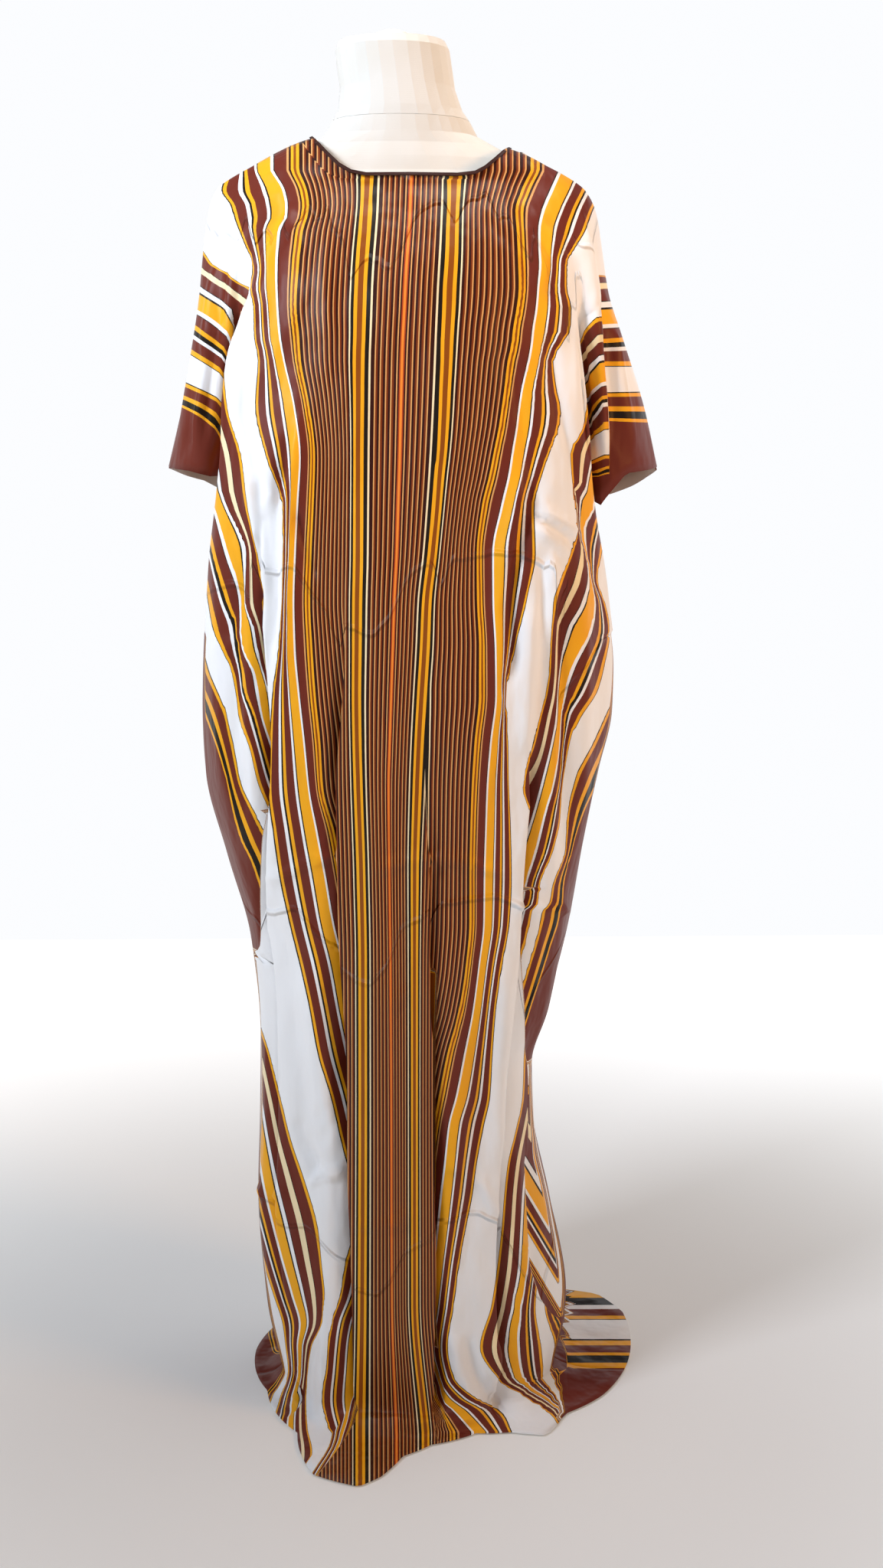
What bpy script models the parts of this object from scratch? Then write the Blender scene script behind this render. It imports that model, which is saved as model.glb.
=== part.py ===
"""A baati dress on a limbless dress form: Blender 4.5, metres, +Z up, origin under the middle of the stand.

The dress is two rectangular panels of thin cloth, joined along the shoulders and the sides, with the
sleeves cut in one and a round neck. It is too long and too wide for the form on purpose, so it hangs in
deep soft folds and its hem lies on the floor. The camera side is -Y, and +X is to the viewer's right.
Sizes in the tables are centimetres.
"""

import math
from collections import namedtuple

import bmesh
import bpy
import numpy as np
from mathutils import Vector

CM = 0.01  # metres in a centimetre

WALL = 0.15  # thickness of the cloth
SEAM_GAP = 0.03  # between pieces that are sewn or rest on each other
PANELS = {"front": -1, "back": 1}
SIDES = {"left": -1, "right": 1}

# The shoulder ridge and the top edge of the sleeve, one row for each height: half-width to each side.
Ridge = namedtuple("Ridge", "height left right")
RIDGE = [
    Ridge(143.6, 9.4, 9.4),
    Ridge(142.5, 11.6, 11.6),
    Ridge(138.4, 19.7, 19.7),
    Ridge(137.2, 20.7, 20.8),
    Ridge(135.8, 21.3, 21.4),
    Ridge(131.8, 22.2, 22.3),
    Ridge(127.2, 22.9, 23.4),
    Ridge(121.2, 23.8, 25.2),
    Ridge(115.2, 24.8, 26.9),
    Ridge(109.0, 25.8, 28.3),
]
CUFF_HEIGHT = RIDGE[-1].height

# The body of the dress below the cuffs: half-width to each side.
Body = namedtuple("Body", "height left right")
BODY = [
    Body(109.0, 20.4, 21.0),
    Body(104.0, 21.0, 21.7),
    Body(94.0, 22.1, 23.1),
    Body(82.0, 22.6, 23.5),
    Body(75.0, 22.3, 22.3),
    Body(66.0, 20.1, 20.5),
    Body(56.0, 17.4, 18.8),
    Body(48.0, 16.8, 16.9),
    Body(41.0, 16.9, 14.7),
    Body(34.0, 17.1, 15.1),
    Body(23.0, 17.5, 17.3),
    Body(11.0, 16.4, 19.3),
    Body(4.0, 15.0, 18.2),
    Body(0.0, 14.2, 17.2),
]

# How far the cloth stands in front of and behind the form's axis, and the sideways drift of its middle.
Depth = namedtuple("Depth", "height front back middle")
DEPTH = [
    Depth(143.6, 7.4, 7.8, 1.0),
    Depth(141.0, 7.8, 8.6, 1.0),
    Depth(138.8, 8.0, 9.5, 0.9),
    Depth(136.0, 9.8, 10.6, 0.7),
    Depth(133.0, 11.9, 11.4, 0.5),
    Depth(130.0, 13.5, 12.0, 0.4),
    Depth(127.0, 14.5, 12.3, 0.2),
    Depth(121.0, 15.2, 12.5, 0.0),
    Depth(110.0, 15.4, 12.6, -0.4),
    Depth(98.0, 15.4, 13.0, -0.8),
    Depth(86.0, 15.4, 14.3, -1.1),
    Depth(72.0, 15.1, 15.0, -1.4),
    Depth(50.0, 14.5, 15.6, -1.4),
    Depth(25.0, 13.8, 16.4, -1.3),
    Depth(6.0, 13.0, 17.0, -1.2),
    Depth(0.0, 12.6, 17.4, -1.2),
]

# The neckline: its sideways reach at each share of the way from the neck point down to its flat bottom.
Neck = namedtuple("Neck", "drop left right")
NECK_POINT = {"left": 143.6, "right": 142.6}
NECK_BOTTOM = {"front": 138.8, "back": 142.0}
NECK = [
    Neck(0.0, 9.4, 11.5),
    Neck(0.3, 8.5, 10.6),
    Neck(0.55, 7.4, 9.6),
    Neck(0.78, 6.3, 8.6),
    Neck(0.93, 5.1, 7.6),
    Neck(1.0, 3.6, 5.8),
]

# Each row's inner height, as a share of the neck's drop beside the neckline, and its outer height.
Slope = namedtuple("Slope", "part front back outer")
SLOPES = [
    Slope("ridge", 0.0, 0.0, 138.4),
    Slope("neck", 0.3, 0.3, 137.6),
    Slope("neck", 0.55, 0.55, 136.8),
    Slope("neck", 0.78, 0.78, 136.0),
    Slope("neck", 0.93, 0.93, 135.2),
    Slope("neck", 1.0, 1.0, 134.2),
    Slope("chest", 138.8, 142.0, 133.0),
    Slope("chest", 136.0, 138.6, 131.4),
    Slope("chest", 132.8, 134.2, 129.6),
    Slope("chest", 129.2, 129.8, 127.6),
    Slope("chest", 125.4, 125.4, 125.0),
    Slope("chest", 121.6, 121.6, 121.8),
    Slope("chest", 117.4, 117.4, 118.0),
    Slope("chest", 112.8, 112.8, 113.8),
    Slope("cuff", 107.4, 107.4, 109.0),
]
SKIRT_ROWS = [104.5, 100.5, 95.5, 90.0, 84.0, 77.5, 70.0, 62.0, 53.5, 44.5, 35.5, 26.5, 18.0, 10.5, 5.4, 2.4]

# The valley between the body and the sleeve: where its lip stands, where its bottom lies, how far back
# the bottom goes as a share of the way to the seam, and how far the sleeve's face stands out.
Valley = namedtuple("Valley", "height lip_left lip_right floor_left floor_right share face")
VALLEY = [
    Valley(132.5, 15.4, 16.6, 15.9, 17.1, 0.0, 10.0),
    Valley(126.0, 16.2, 18.0, 15.9, 17.7, 0.12, 10.0),
    Valley(120.7, 18.0, 18.7, 17.2, 17.9, 0.45, 9.0),
    Valley(115.5, 18.9, 19.4, 17.2, 18.0, 0.74, 8.6),
    Valley(109.0, 19.8, 20.3, 16.8, 17.6, 0.96, 7.8),
    Valley(104.0, 20.4, 21.2, 17.7, 18.4, 1.0, 7.6),
    Valley(98.0, 21.3, 22.3, 19.9, 20.8, 1.0, 7.6),
    Valley(91.0, 21.9, 23.0, 22.2, 23.2, 1.0, 7.6),
]

# The deep folds: the fold's edge as a distance from the middle at the top and at the floor, how far the
# pocket behind it reaches at three heights, and its lean, 0 lying flat under the middle, 90 straight in.
Fold = namedtuple("Fold", "panel side top edge_top edge_low at_80 at_50 at_15 lean")
FOLDS = [
    Fold("front", "left", 100, 5.9, 4.9, 1.6, 4.2, 6.2, 42),
    Fold("front", "right", 84, 4.4, 4.0, 0.6, 3.4, 5.0, 78),
    Fold("front", "left", 106, 13.6, 10.6, 3.6, 4.6, 2.8, 40),
    Fold("front", "right", 106, 15.2, 10.4, 3.6, 4.6, 3.0, 40),
    Fold("back", "left", 96, 6.6, 7.4, 1.2, 3.6, 5.0, 62),
    Fold("back", "right", 90, 7.6, 6.6, 1.0, 3.2, 5.4, 66),
    Fold("back", "left", 104, 14.6, 12.0, 2.4, 4.0, 3.0, 28),
    Fold("back", "right", 104, 14.8, 12.0, 2.6, 3.8, 3.2, 28),
]
FOLD_LAYER = 0.62  # between the layers of a fold
MIDDLE_CROWN = 1.3  # the middle of the skirt's front stands out between its folds

# Where the hem lies on the floor: turned from the front towards +X, and its reach from the axis.
Hem = namedtuple("Hem", "turn reach")
HEM = [
    Hem(-180, 19.6),
    Hem(-150, 19.4),
    Hem(-125, 20.6),
    Hem(-108, 19.6),
    Hem(-77, 17.0),
    Hem(-43, 18.2),
    Hem(-25, 24.1),
    Hem(-12, 24.8),
    Hem(-7, 22.6),
    Hem(-1, 18.4),
    Hem(10, 16.4),
    Hem(30, 16.0),
    Hem(41, 18.2),
    Hem(48, 21.6),
    Hem(62, 21.0),
    Hem(76, 24.1),
    Hem(85, 25.7),
    Hem(107, 29.8),
    Hem(118, 32.0),
    Hem(128, 32.4),
    Hem(137, 29.6),
    Hem(150, 22.6),
    Hem(180, 19.6),
]

# The form under the dress and its covered neck: half-width, front and back at each height.
Form = namedtuple("Form", "height half front back")
FORM = [
    Form(76.5, 16.4, 10.4, 11.6),
    Form(78.0, 17.6, 11.2, 12.4),
    Form(86.0, 18.4, 11.9, 13.1),
    Form(95.0, 17.0, 11.0, 11.6),
    Form(104.0, 13.5, 9.5, 9.5),
    Form(112.0, 14.6, 10.6, 9.6),
    Form(121.0, 16.6, 13.4, 10.6),
    Form(127.0, 17.6, 12.2, 11.0),
    Form(133.0, 18.3, 9.8, 10.2),
    Form(136.0, 18.4, 7.8, 8.6),
    Form(138.4, 17.3, 6.5, 7.3),
    Form(139.6, 16.0, 5.9, 6.7),
    Form(141.0, 13.5, 5.6, 6.2),
    Form(142.5, 10.4, 5.2, 5.8),
    Form(143.6, 8.3, 5.2, 5.6),
    Form(145.2, 7.4, 5.3, 5.6),
]
NECK_STUB = [
    Form(145.23, 7.4, 5.3, 5.6),
    Form(146.2, 6.7, 5.4, 5.7),
    Form(148.5, 6.15, 5.4, 5.7),
    Form(152.4, 6.1, 5.5, 5.8),
    Form(153.2, 5.7, 5.1, 5.4),
]
NECK_LEAN = -0.9  # the top of the neck stands this far to the left
CAP = [
    Form(153.23, 2.4, 2.2, 2.2),
    Form(153.7, 2.3, 2.1, 2.1),
    Form(154.2, 1.7, 1.6, 1.6),
    Form(154.5, 0.9, 0.9, 0.9),
]
POLE_RADIUS = 1.25
BASE_RADIUS = 10.8
BASE_THICKNESS = 1.1


def eased(value):
    """0 up to 0, 1 from 1 on, and smooth between."""
    value = min(1.0, max(0.0, value))
    return value * value * (3 - 2 * value)


def read(table, height, column, ease=1.2):
    """A table's column at a height, rounded a little at its rows."""
    rows = sorted(table)
    heights = [row.height for row in rows]
    values = [getattr(row, column) for row in rows]
    steps = (-ease, -ease / 2, 0.0, ease / 2, ease)
    return sum(float(np.interp(height + step, heights, values)) for step in steps) / len(steps)


def squareness(height):
    """The exponent of a section: 2 is an ellipse, and more is squarer."""
    return float(np.interp(height, [0, 80, 95, 108, 109.5, 125, 143], [2.4, 2.5, 2.7, 3.0, 2.3, 2.3, 2.05]))


def oval(share, exponent):
    """How far a section stands out, from 1 at its middle to 0 at its side."""
    return max(0.0, 1.0 - min(1.0, share) ** exponent) ** (1.0 / exponent)


def body_depth(panel, side, height, across):
    """How far the body of the dress stands out at a place across it."""
    middle = read(DEPTH, height, "middle")
    depth = read(DEPTH, height, panel)
    ridge = SIDES[side] * read(RIDGE, height, side, 0.4) - middle
    whole = depth * oval((across - middle) / ridge, squareness(max(height, 109.5)))
    half = SIDES[side] * read(BODY, height, side) - middle
    body = depth * oval((across - middle) / half, squareness(min(height, 108)))
    out = whole + (body - whole) * eased((122 - height) / 30)
    if panel == "front":
        crown = MIDDLE_CROWN * eased((95 - height) / 45) * eased((height - 1) / 12)
        out += crown * max(0.0, 1 - ((across - middle) / 5.5) ** 2)
    return PANELS[panel] * out


def lip_of(panel, side, height):
    """The place across of the body's outer fold, where the valley to the sleeve starts."""
    lip = read(VALLEY, height, "lip_" + side)
    if height < VALLEY[-1].height:
        lip = 0.95 * read(BODY, height, side)
    return SIDES[side] * lip


def pocket_depth(fold, height):
    heights = [1.5, 8.0, 15.0, 50.0, 80.0, 80.0 + 0.6 * (fold.top - 80.0), fold.top]
    depths = [0.0, fold.at_15 * 0.8, fold.at_15, fold.at_50, fold.at_80, fold.at_80 * 0.25, 0.0]
    return float(np.interp(height, heights, depths))


EVEN = (-2.1, -1.4, -0.7, 0.0, 0.7, 1.4, 2.1)


def pocket_points(fold, height):
    """The fold's seven points as (along, outward) from its edge, in the section's own directions."""
    depth = pocket_depth(fold, height)
    reach = max(2.4, depth)
    lean = math.radians(fold.lean)
    into = (-math.cos(lean), -math.sin(lean))
    across = (math.sin(lean), -math.cos(lean))
    layer = FOLD_LAYER
    steps = [(-0.08, 0.5 * layer), (0.4, layer), (reach, 1.05 * layer)]
    steps += [(reach, 1.75 * layer), (0.5, 1.8 * layer)]
    folded = [(-0.45, 0.0)]
    folded += [(into[0] * far + across[0] * wide, into[1] * far + across[1] * wide) for far, wide in steps]
    folded += [(2.2, -0.9 * layer * math.cos(lean))]
    opened = min(1.0, depth / 2.4)
    return [(even + (ahead - even) * opened, out * opened) for even, (ahead, out) in zip(EVEN, folded)]


SEGMENTS = (2, 1, 2)  # steps before the first fold, between the folds and up to the body's lip
WALL_STEPS = 3  # from the lip down to the valley's bottom, or round to the side seam
SLEEVE_STEPS = 7  # from the valley's bottom round the sleeve to its top edge
VALLEY_WIDTH = 0.6

# A row of half a panel: its part, the heights of its inner and outer end, and where it starts across.
Row = namedtuple("Row", "part inner outer start")


def rows_of(panel, side):
    """The rows of one half of a panel, from the shoulder down to the floor."""
    rows = []
    for slope in SLOPES:
        inner = getattr(slope, panel)
        if slope.part in ("ridge", "neck"):
            reaches = [getattr(neck, side) for neck in NECK]
            reach = float(np.interp(inner, [neck.drop for neck in NECK], reaches))
            drop = NECK_BOTTOM[panel] - NECK_POINT[side]
            rows.append(Row(slope.part, NECK_POINT[side] + drop * inner, slope.outer, SIDES[side] * reach))
        else:
            rows.append(Row(slope.part, inner, slope.outer, read(DEPTH, inner, "middle")))
    for height in SKIRT_ROWS:
        rows.append(Row("skirt", height, height, read(DEPTH, height, "middle")))
    return rows


def ridge_at(side, height):
    return SIDES[side] * read(RIDGE, height, side, 0.3)


def on_ridge(side, across):
    """The height of the shoulder ridge at a place across."""
    rows = sorted(RIDGE, key=lambda row: getattr(row, side))
    return float(np.interp(abs(across), [getattr(row, side) for row in rows], [row.height for row in rows]))


def place(panel, side, row, across):
    """The point of a row at a place across the body."""
    if row.part == "ridge":
        return Vector((across, PANELS[panel] * SEAM_GAP / 2, on_ridge(side, across)))
    share = (across - row.start) / (ridge_at(side, row.outer) - row.start)
    height = row.inner + (row.outer - row.inner) * min(1.0, max(0.0, share)) ** 1.3
    return Vector((across, body_depth(panel, side, height, across), height))


def lip_point(panel, side, row):
    """Where a row leaves the body's face."""
    lip = place(panel, side, row, lip_of(panel, side, row.outer))
    return place(panel, side, row, lip_of(panel, side, lip.z))


def along(line, lengths, distance):
    """A point of a line at a distance along it, and the line's direction there."""
    axes = [[point[axis] for point in line] for axis in range(3)]
    found = [Vector([float(np.interp(distance + step, lengths, axis)) for axis in axes])
             for step in (-0.4, 0.0, 0.4)]
    return found[1], (found[2] - found[0]).normalized()


def body_points(panel, side, row):
    """A row's points from its inner end to the body's lip, folds included."""
    lip = lip_point(panel, side, row)
    shares = [math.sin(math.pi / 2 * step / 90) for step in range(91)]
    line = [place(panel, side, row, row.start + (lip.x - row.start) * share) for share in shares]
    lengths = [0.0]
    for near, far in zip(line, line[1:]):
        lengths.append(lengths[-1] + (far - near).length)
    folds = [fold for fold in FOLDS if fold.panel == panel and fold.side == side]
    anchored = eased((134 - row.outer) / 16)
    across = [abs(point.x - row.start) for point in line]
    stations = []
    last = 0.0
    for fold, steps in zip(folds + [None], SEGMENTS):
        edge = lengths[-1]
        reach = edge
        if fold is not None:
            where = fold.edge_low + (fold.edge_top - fold.edge_low) * eased(row.outer / fold.top)
            edge = min(float(np.interp(where, across, lengths)), lengths[-1] - EVEN[-1] - 1.6)
            reach = edge + EVEN[0]
        stations += [(last + (reach - last) * step / steps, 0.0) for step in range(steps)]
        if fold is not None:
            stations += [(edge + ahead, out) for ahead, out in pocket_points(fold, row.outer)]
            last = edge + EVEN[-1] + 0.9
    points = []
    for index, (distance, out) in enumerate(stations):
        even = lengths[-1] * index / len(stations)
        point, ahead = along(line, lengths, even + (distance - even) * anchored)
        outward = Vector((ahead.y, -ahead.x, 0.0)).normalized() * out * anchored
        points.append(point + outward * SIDES[side] * -PANELS[panel])
    return points + [lip]


def seam_point(panel, side, height):
    """The end of a skirt row, on the side seam."""
    across = read(VALLEY, height, "floor_" + side) if height > VALLEY[-1].height else read(BODY, height, side)
    return Vector((SIDES[side] * across, PANELS[panel] * SEAM_GAP / 2, height))


def plain_point(panel, side, row, lip, step):
    """Where a column beyond the lip lies on a row that has no valley."""
    near = min(step, WALL_STEPS + 1)
    start = lip.x + SIDES[side] * 0.4 * near
    spread = math.sin(math.pi / 2 * (step - near) / (SLEEVE_STEPS - 1))
    return place(panel, side, row, start + (ridge_at(side, row.outer) - start) * spread)


def wall_points(panel, side, row, lip):
    """From the lip to the valley's bottom or, lower down, round to the side seam."""
    if row.part == "skirt":
        end = seam_point(panel, side, row.outer)
    else:
        share = read(VALLEY, lip.z, "share")
        end = Vector((SIDES[side] * read(VALLEY, lip.z, "floor_" + side), lip.y * (1 - share), lip.z))
        end.y = PANELS[panel] * max(0.6, abs(end.y))
    if row.part == "cuff":
        end.y = PANELS[panel] * SEAM_GAP / 2
    points = []
    for step in range(1, WALL_STEPS + 1):
        share = step / WALL_STEPS
        straight = lip + (end - lip) * share
        if row.part == "skirt":
            half = SIDES[side] * read(BODY, lip.z, side)
            bulge = lip.x + (half - lip.x) * math.sin(math.pi / 2 * share)
            other = Vector((bulge, body_depth(panel, side, lip.z, bulge), lip.z))
            follow = 1 - eased((VALLEY[-1].height + 2 - lip.z) / 6) * (step < WALL_STEPS)
        else:
            other = plain_point(panel, side, row, lip, step)
            follow = eased(read(VALLEY, lip.z, "share") / 0.3)
        points.append(other + (straight - other) * follow)
    return points


def sleeve_points(panel, side, row, lip, bottom):
    """From the valley's bottom out to the sleeve's face and round to its top edge."""
    tip = ridge_at(side, row.outer)
    follow = eased(read(VALLEY, lip.z, "share") / 0.3)
    face = Vector((lip.x + SIDES[side] * VALLEY_WIDTH, PANELS[panel] * read(VALLEY, lip.z, "face"), lip.z))
    deep = PANELS[panel] * max(0.4, abs(bottom.y))
    corner = Vector((bottom.x + SIDES[side] * VALLEY_WIDTH, deep, bottom.z))
    points = []
    for step in range(1, SLEEVE_STEPS):
        plain = plain_point(panel, side, row, lip, WALL_STEPS + step)
        folded = corner + (face - corner) * 0.5 * (step - 1)
        if step > 3:
            turn = math.pi / 2 * (step - 3) / (SLEEVE_STEPS - 3)
            folded.x = face.x + (tip - face.x) * math.sin(turn) ** 0.87
            folded.y = face.y * math.cos(turn) ** 0.87
        folded.z = place(panel, side, row, folded.x).z
        points.append(plain + (folded - plain) * follow)
    return points + [Vector((tip, PANELS[panel] * SEAM_GAP / 2, row.outer))]


def hem_reach(turn):
    return float(np.interp(turn, [hem.turn for hem in HEM], [hem.reach for hem in HEM]))


# The rows that lie on the floor: how far they are on the way from the skirt to the hem's edge, and height.
Lie = namedtuple("Lie", "share height")
LIES = [Lie(0.16, 0.8), Lie(0.5, WALL), Lie(1.0, WALL)]


def hem_points(panel, side, lie):
    """One row of the hem, from the middle to the side seam."""
    height = max(lie.height, 0.8)
    row = Row("skirt", height, height, read(DEPTH, height, "middle"))
    points = body_points(panel, side, row)
    points += wall_points(panel, side, row, points[-1])
    laid = []
    for point in points:
        foot = Vector((point.x, point.y, 0.0))
        turn = math.degrees(math.atan2(foot.x, -foot.y))
        reach = max(hem_reach(turn), foot.length + 1.8)
        far = foot + (foot.normalized() * reach - foot) * lie.share
        laid.append(Vector((far.x, far.y, lie.height)))
    laid[-1].y = PANELS[panel] * SEAM_GAP / 2
    return laid


def panel_grid(panel, side):
    """All points of half a panel, row by row. The sleeve's rows are longer than the skirt's."""
    grid = []
    for row in rows_of(panel, side):
        points = body_points(panel, side, row)
        lip = points[-1]
        points += wall_points(panel, side, row, lip)
        if row.part != "skirt":
            points += sleeve_points(panel, side, row, lip, points[-1])
        grid.append(points)
    return grid + [hem_points(panel, side, lie) for lie in LIES]


Sheet = namedtuple("Sheet", "mesh neck")


def panel_sheet(panel):
    """The outer face of a panel as an open mesh, and its vertices along the neck from left to right."""
    sheet = bmesh.new()
    necks = {}
    centres = {}
    for side in SIDES:
        grid = panel_grid(panel, side)
        rows = []
        for index, points in enumerate(grid):
            row = [centres.get(index)] if index in centres else [None]
            row = [row[0] or sheet.verts.new(points[0])] + [sheet.verts.new(point) for point in points[1:]]
            if index >= len(NECK):
                centres[index] = row[0]
            rows.append(row)
        for upper, lower in zip(rows, rows[1:]):
            for column in range(min(len(upper), len(lower)) - 1):
                sheet.faces.new((upper[column], upper[column + 1], lower[column + 1], lower[column]))
        necks[side] = [row[0] for row in rows[: len(NECK) + 1]]
    bmesh.ops.recalc_face_normals(sheet, faces=sheet.faces)
    sheet.normal_update()
    if sum(vert.normal.y * PANELS[panel] for vert in sheet.verts) < 0:
        bmesh.ops.reverse_faces(sheet, faces=sheet.faces)
        sheet.normal_update()
    return Sheet(sheet, necks["left"] + necks["right"][-2::-1])


def into_wall(vert):
    """The step from a vertex of the outer face to the inner one."""
    normal = vert.normal.copy()
    if vert.co.z < WALL + 0.001:
        return Vector((0.0, 0.0, -WALL))
    if abs(vert.co.y) < SEAM_GAP:
        if len(vert.link_faces) == 3:
            return Vector((math.copysign(1.4 * WALL, -vert.co.x), 0.0, 3 * WALL))
        normal.y = 0.0
        normal.normalize()
    lean = sum(max(0.0, face.normal.dot(normal)) for face in vert.link_faces) / len(vert.link_faces)
    return -normal * WALL / max(0.5, lean)


def add_object(name, mesh, material):
    """The mesh, whose sizes are centimetres, as a named object."""
    for vert in mesh.verts:
        vert.co *= CM
    bmesh.ops.recalc_face_normals(mesh, faces=mesh.faces)
    data = bpy.data.meshes.new(name)
    mesh.to_mesh(data)
    mesh.free()
    data.materials.append(material)
    part = bpy.data.objects.new(name, data)
    bpy.context.scene.collection.objects.link(part)
    return part


def thick_panel(panel, sheet, material):
    """A panel as a closed wall."""
    solid = bmesh.new()
    outer = {vert: solid.verts.new(vert.co) for vert in sheet.mesh.verts}
    inner = {vert: solid.verts.new(vert.co + into_wall(vert)) for vert in sheet.mesh.verts}
    for face in sheet.mesh.faces:
        solid.faces.new([outer[vert] for vert in face.verts])
        solid.faces.new([inner[vert] for vert in reversed(face.verts)])
    for edge in sheet.mesh.edges:
        if edge.is_boundary:
            near, far = edge.verts
            solid.faces.new((outer[near], outer[far], inner[far], inner[near]))
    return add_object("dress_" + panel, solid, material)


def ring_mesh(rings):
    """A closed mesh through rings of points that are the same number each."""
    mesh = bmesh.new()
    rows = [[mesh.verts.new(point) for point in ring] for ring in rings]
    for lower, upper in zip(rows, rows[1:]):
        for index in range(len(lower)):
            after = (index + 1) % len(lower)
            mesh.faces.new((lower[index], lower[after], upper[after], upper[index]))
    mesh.faces.new(rows[0])
    mesh.faces.new(rows[-1])
    return mesh


def form_ring(row, lean, sides):
    """One section of the form, a soft oval that is deeper behind than in front."""
    points = []
    for step in range(sides):
        turn = 2 * math.pi * step / sides
        across = math.cos(turn)
        ahead = math.sin(turn)
        reach = row.front if ahead < 0 else row.back
        points.append(Vector((
            lean + row.half * math.copysign(abs(across) ** 0.93, across),
            reach * math.copysign(abs(ahead) ** 0.93, ahead),
            row.height,
        )))
    return points


def lean_at(height):
    return NECK_LEAN * eased((height - 145.2) / 8)


def disc_ring(radius, height, sides):
    turns = [2 * math.pi * step / sides for step in range(sides)]
    return [Vector((radius * math.cos(turn), radius * math.sin(turn), height)) for turn in turns]


BINDING_WIDTH = 0.35
BINDING_THICKNESS = 0.12
NECK_MIDDLE = Vector((1.0, 0.0, 146.0))


def binding_rings(sheets):
    """The strip round the neck, four points at each vertex of the neck edge, moved out from the panels."""
    edge = [vert for vert in sheets["front"].neck] + [vert for vert in sheets["back"].neck[-2:0:-1]]
    count = len(edge)
    rings = []
    for index, vert in enumerate(edge):
        tangent = (edge[(index + 1) % count].co - edge[index - 1].co).normalized()
        normal = vert.normal.copy()
        start = vert.co.copy()
        if abs(start.y) < SEAM_GAP:
            start.y = 0.0
            normal.y = 0.0
            normal.normalize()
        away = normal.cross(tangent).normalized()
        if away.dot(start - NECK_MIDDLE) < 0:
            away.negate()
        low = start + normal * 0.13
        high = low + normal * BINDING_THICKNESS
        rings.append([low, low + away * BINDING_WIDTH, high + away * BINDING_WIDTH, high])
    return rings


def tube_mesh(rings):
    """A closed loop through rings of points."""
    mesh = bmesh.new()
    rows = [[mesh.verts.new(point) for point in ring] for ring in rings]
    for index, row in enumerate(rows):
        other = rows[(index + 1) % len(rows)]
        for corner in range(len(row)):
            after = (corner + 1) % len(row)
            mesh.faces.new((row[corner], row[after], other[after], other[corner]))
    return mesh


def plain_material(name, colour, roughness, metallic=0.0):
    material = bpy.data.materials.new(name)
    material.use_nodes = True
    shader = material.node_tree.nodes["Principled BSDF"]
    shader.inputs["Base Color"].default_value = (*colour, 1.0)
    shader.inputs["Roughness"].default_value = roughness
    shader.inputs["Metallic"].default_value = metallic
    return material


for old in list(bpy.context.scene.objects):
    bpy.data.objects.remove(old)

printed_cloth = plain_material("printed cloth", (0.42, 0.24, 0.14), 0.6)
printed_cloth_back = plain_material("printed cloth, back panel", (0.40, 0.23, 0.14), 0.6)
bound_edge = plain_material("turned neck edge", (0.10, 0.04, 0.03), 0.6)
form_cover = plain_material("stretch cover", (0.84, 0.82, 0.78), 0.7)
neck_cover = plain_material("stretch cover of the neck", (0.84, 0.82, 0.79), 0.7)
cap_cover = plain_material("folded cover", (0.82, 0.80, 0.77), 0.7)
pole_paint = plain_material("satin grey paint, pole", (0.30, 0.30, 0.31), 0.4)
base_paint = plain_material("satin grey paint, base", (0.28, 0.28, 0.29), 0.45)

sheets = {panel: panel_sheet(panel) for panel in PANELS}
add_object("neck_binding", tube_mesh(binding_rings(sheets)), bound_edge)
thick_panel("front", sheets["front"], printed_cloth)
thick_panel("back", sheets["back"], printed_cloth_back)
for sheet in sheets.values():
    sheet.mesh.free()

add_object("form_torso", ring_mesh([form_ring(row, 0.0, 36) for row in FORM]), form_cover)
add_object("form_neck", ring_mesh([form_ring(row, lean_at(row.height), 28) for row in NECK_STUB]), neck_cover)
add_object("neck_cap", ring_mesh([form_ring(row, lean_at(row.height), 20) for row in CAP]), cap_cover)

pole_rows = [(POLE_RADIUS, BASE_THICKNESS + SEAM_GAP), (POLE_RADIUS, FORM[0].height - SEAM_GAP)]
pole_rings = [disc_ring(radius, height, 24) for radius, height in pole_rows]
add_object("stand_pole", ring_mesh(pole_rings), pole_paint)
base_rows = [(BASE_RADIUS, 0.0), (BASE_RADIUS, BASE_THICKNESS - 0.2), (BASE_RADIUS - 0.2, BASE_THICKNESS)]
base_rings = [disc_ring(radius, height, 48) for radius, height in base_rows]
add_object("stand_base", ring_mesh(base_rings), base_paint)
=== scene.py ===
"""A baati dress of printed cloth on a limbless dress form. Metres, +Z up; the camera side is -Y."""

import math
from collections import namedtuple

import bmesh
import bpy
import numpy as np
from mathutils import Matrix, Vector


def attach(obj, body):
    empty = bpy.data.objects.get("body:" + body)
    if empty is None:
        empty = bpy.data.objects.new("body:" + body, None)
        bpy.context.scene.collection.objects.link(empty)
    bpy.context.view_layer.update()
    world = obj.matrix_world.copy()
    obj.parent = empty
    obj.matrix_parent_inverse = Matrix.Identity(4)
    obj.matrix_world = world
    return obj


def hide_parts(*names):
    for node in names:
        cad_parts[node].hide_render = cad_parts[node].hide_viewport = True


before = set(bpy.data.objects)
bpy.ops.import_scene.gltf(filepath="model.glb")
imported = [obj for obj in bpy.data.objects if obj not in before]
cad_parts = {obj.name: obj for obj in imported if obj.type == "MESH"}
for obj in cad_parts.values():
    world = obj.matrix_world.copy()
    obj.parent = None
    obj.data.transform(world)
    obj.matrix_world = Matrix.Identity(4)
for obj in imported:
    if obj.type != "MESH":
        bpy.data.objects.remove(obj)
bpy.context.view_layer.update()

# The camera stands at breast height two metres off and looks a little down, as it did for the photograph.
# PHOTO_FOCUS is its focal length in the photograph's pixels, and the AIM_ angles give the same framing.
PHOTO_WIDTH, PHOTO_HEIGHT = 1153, 2048
PHOTO_FOCUS = 2320.0
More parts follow.
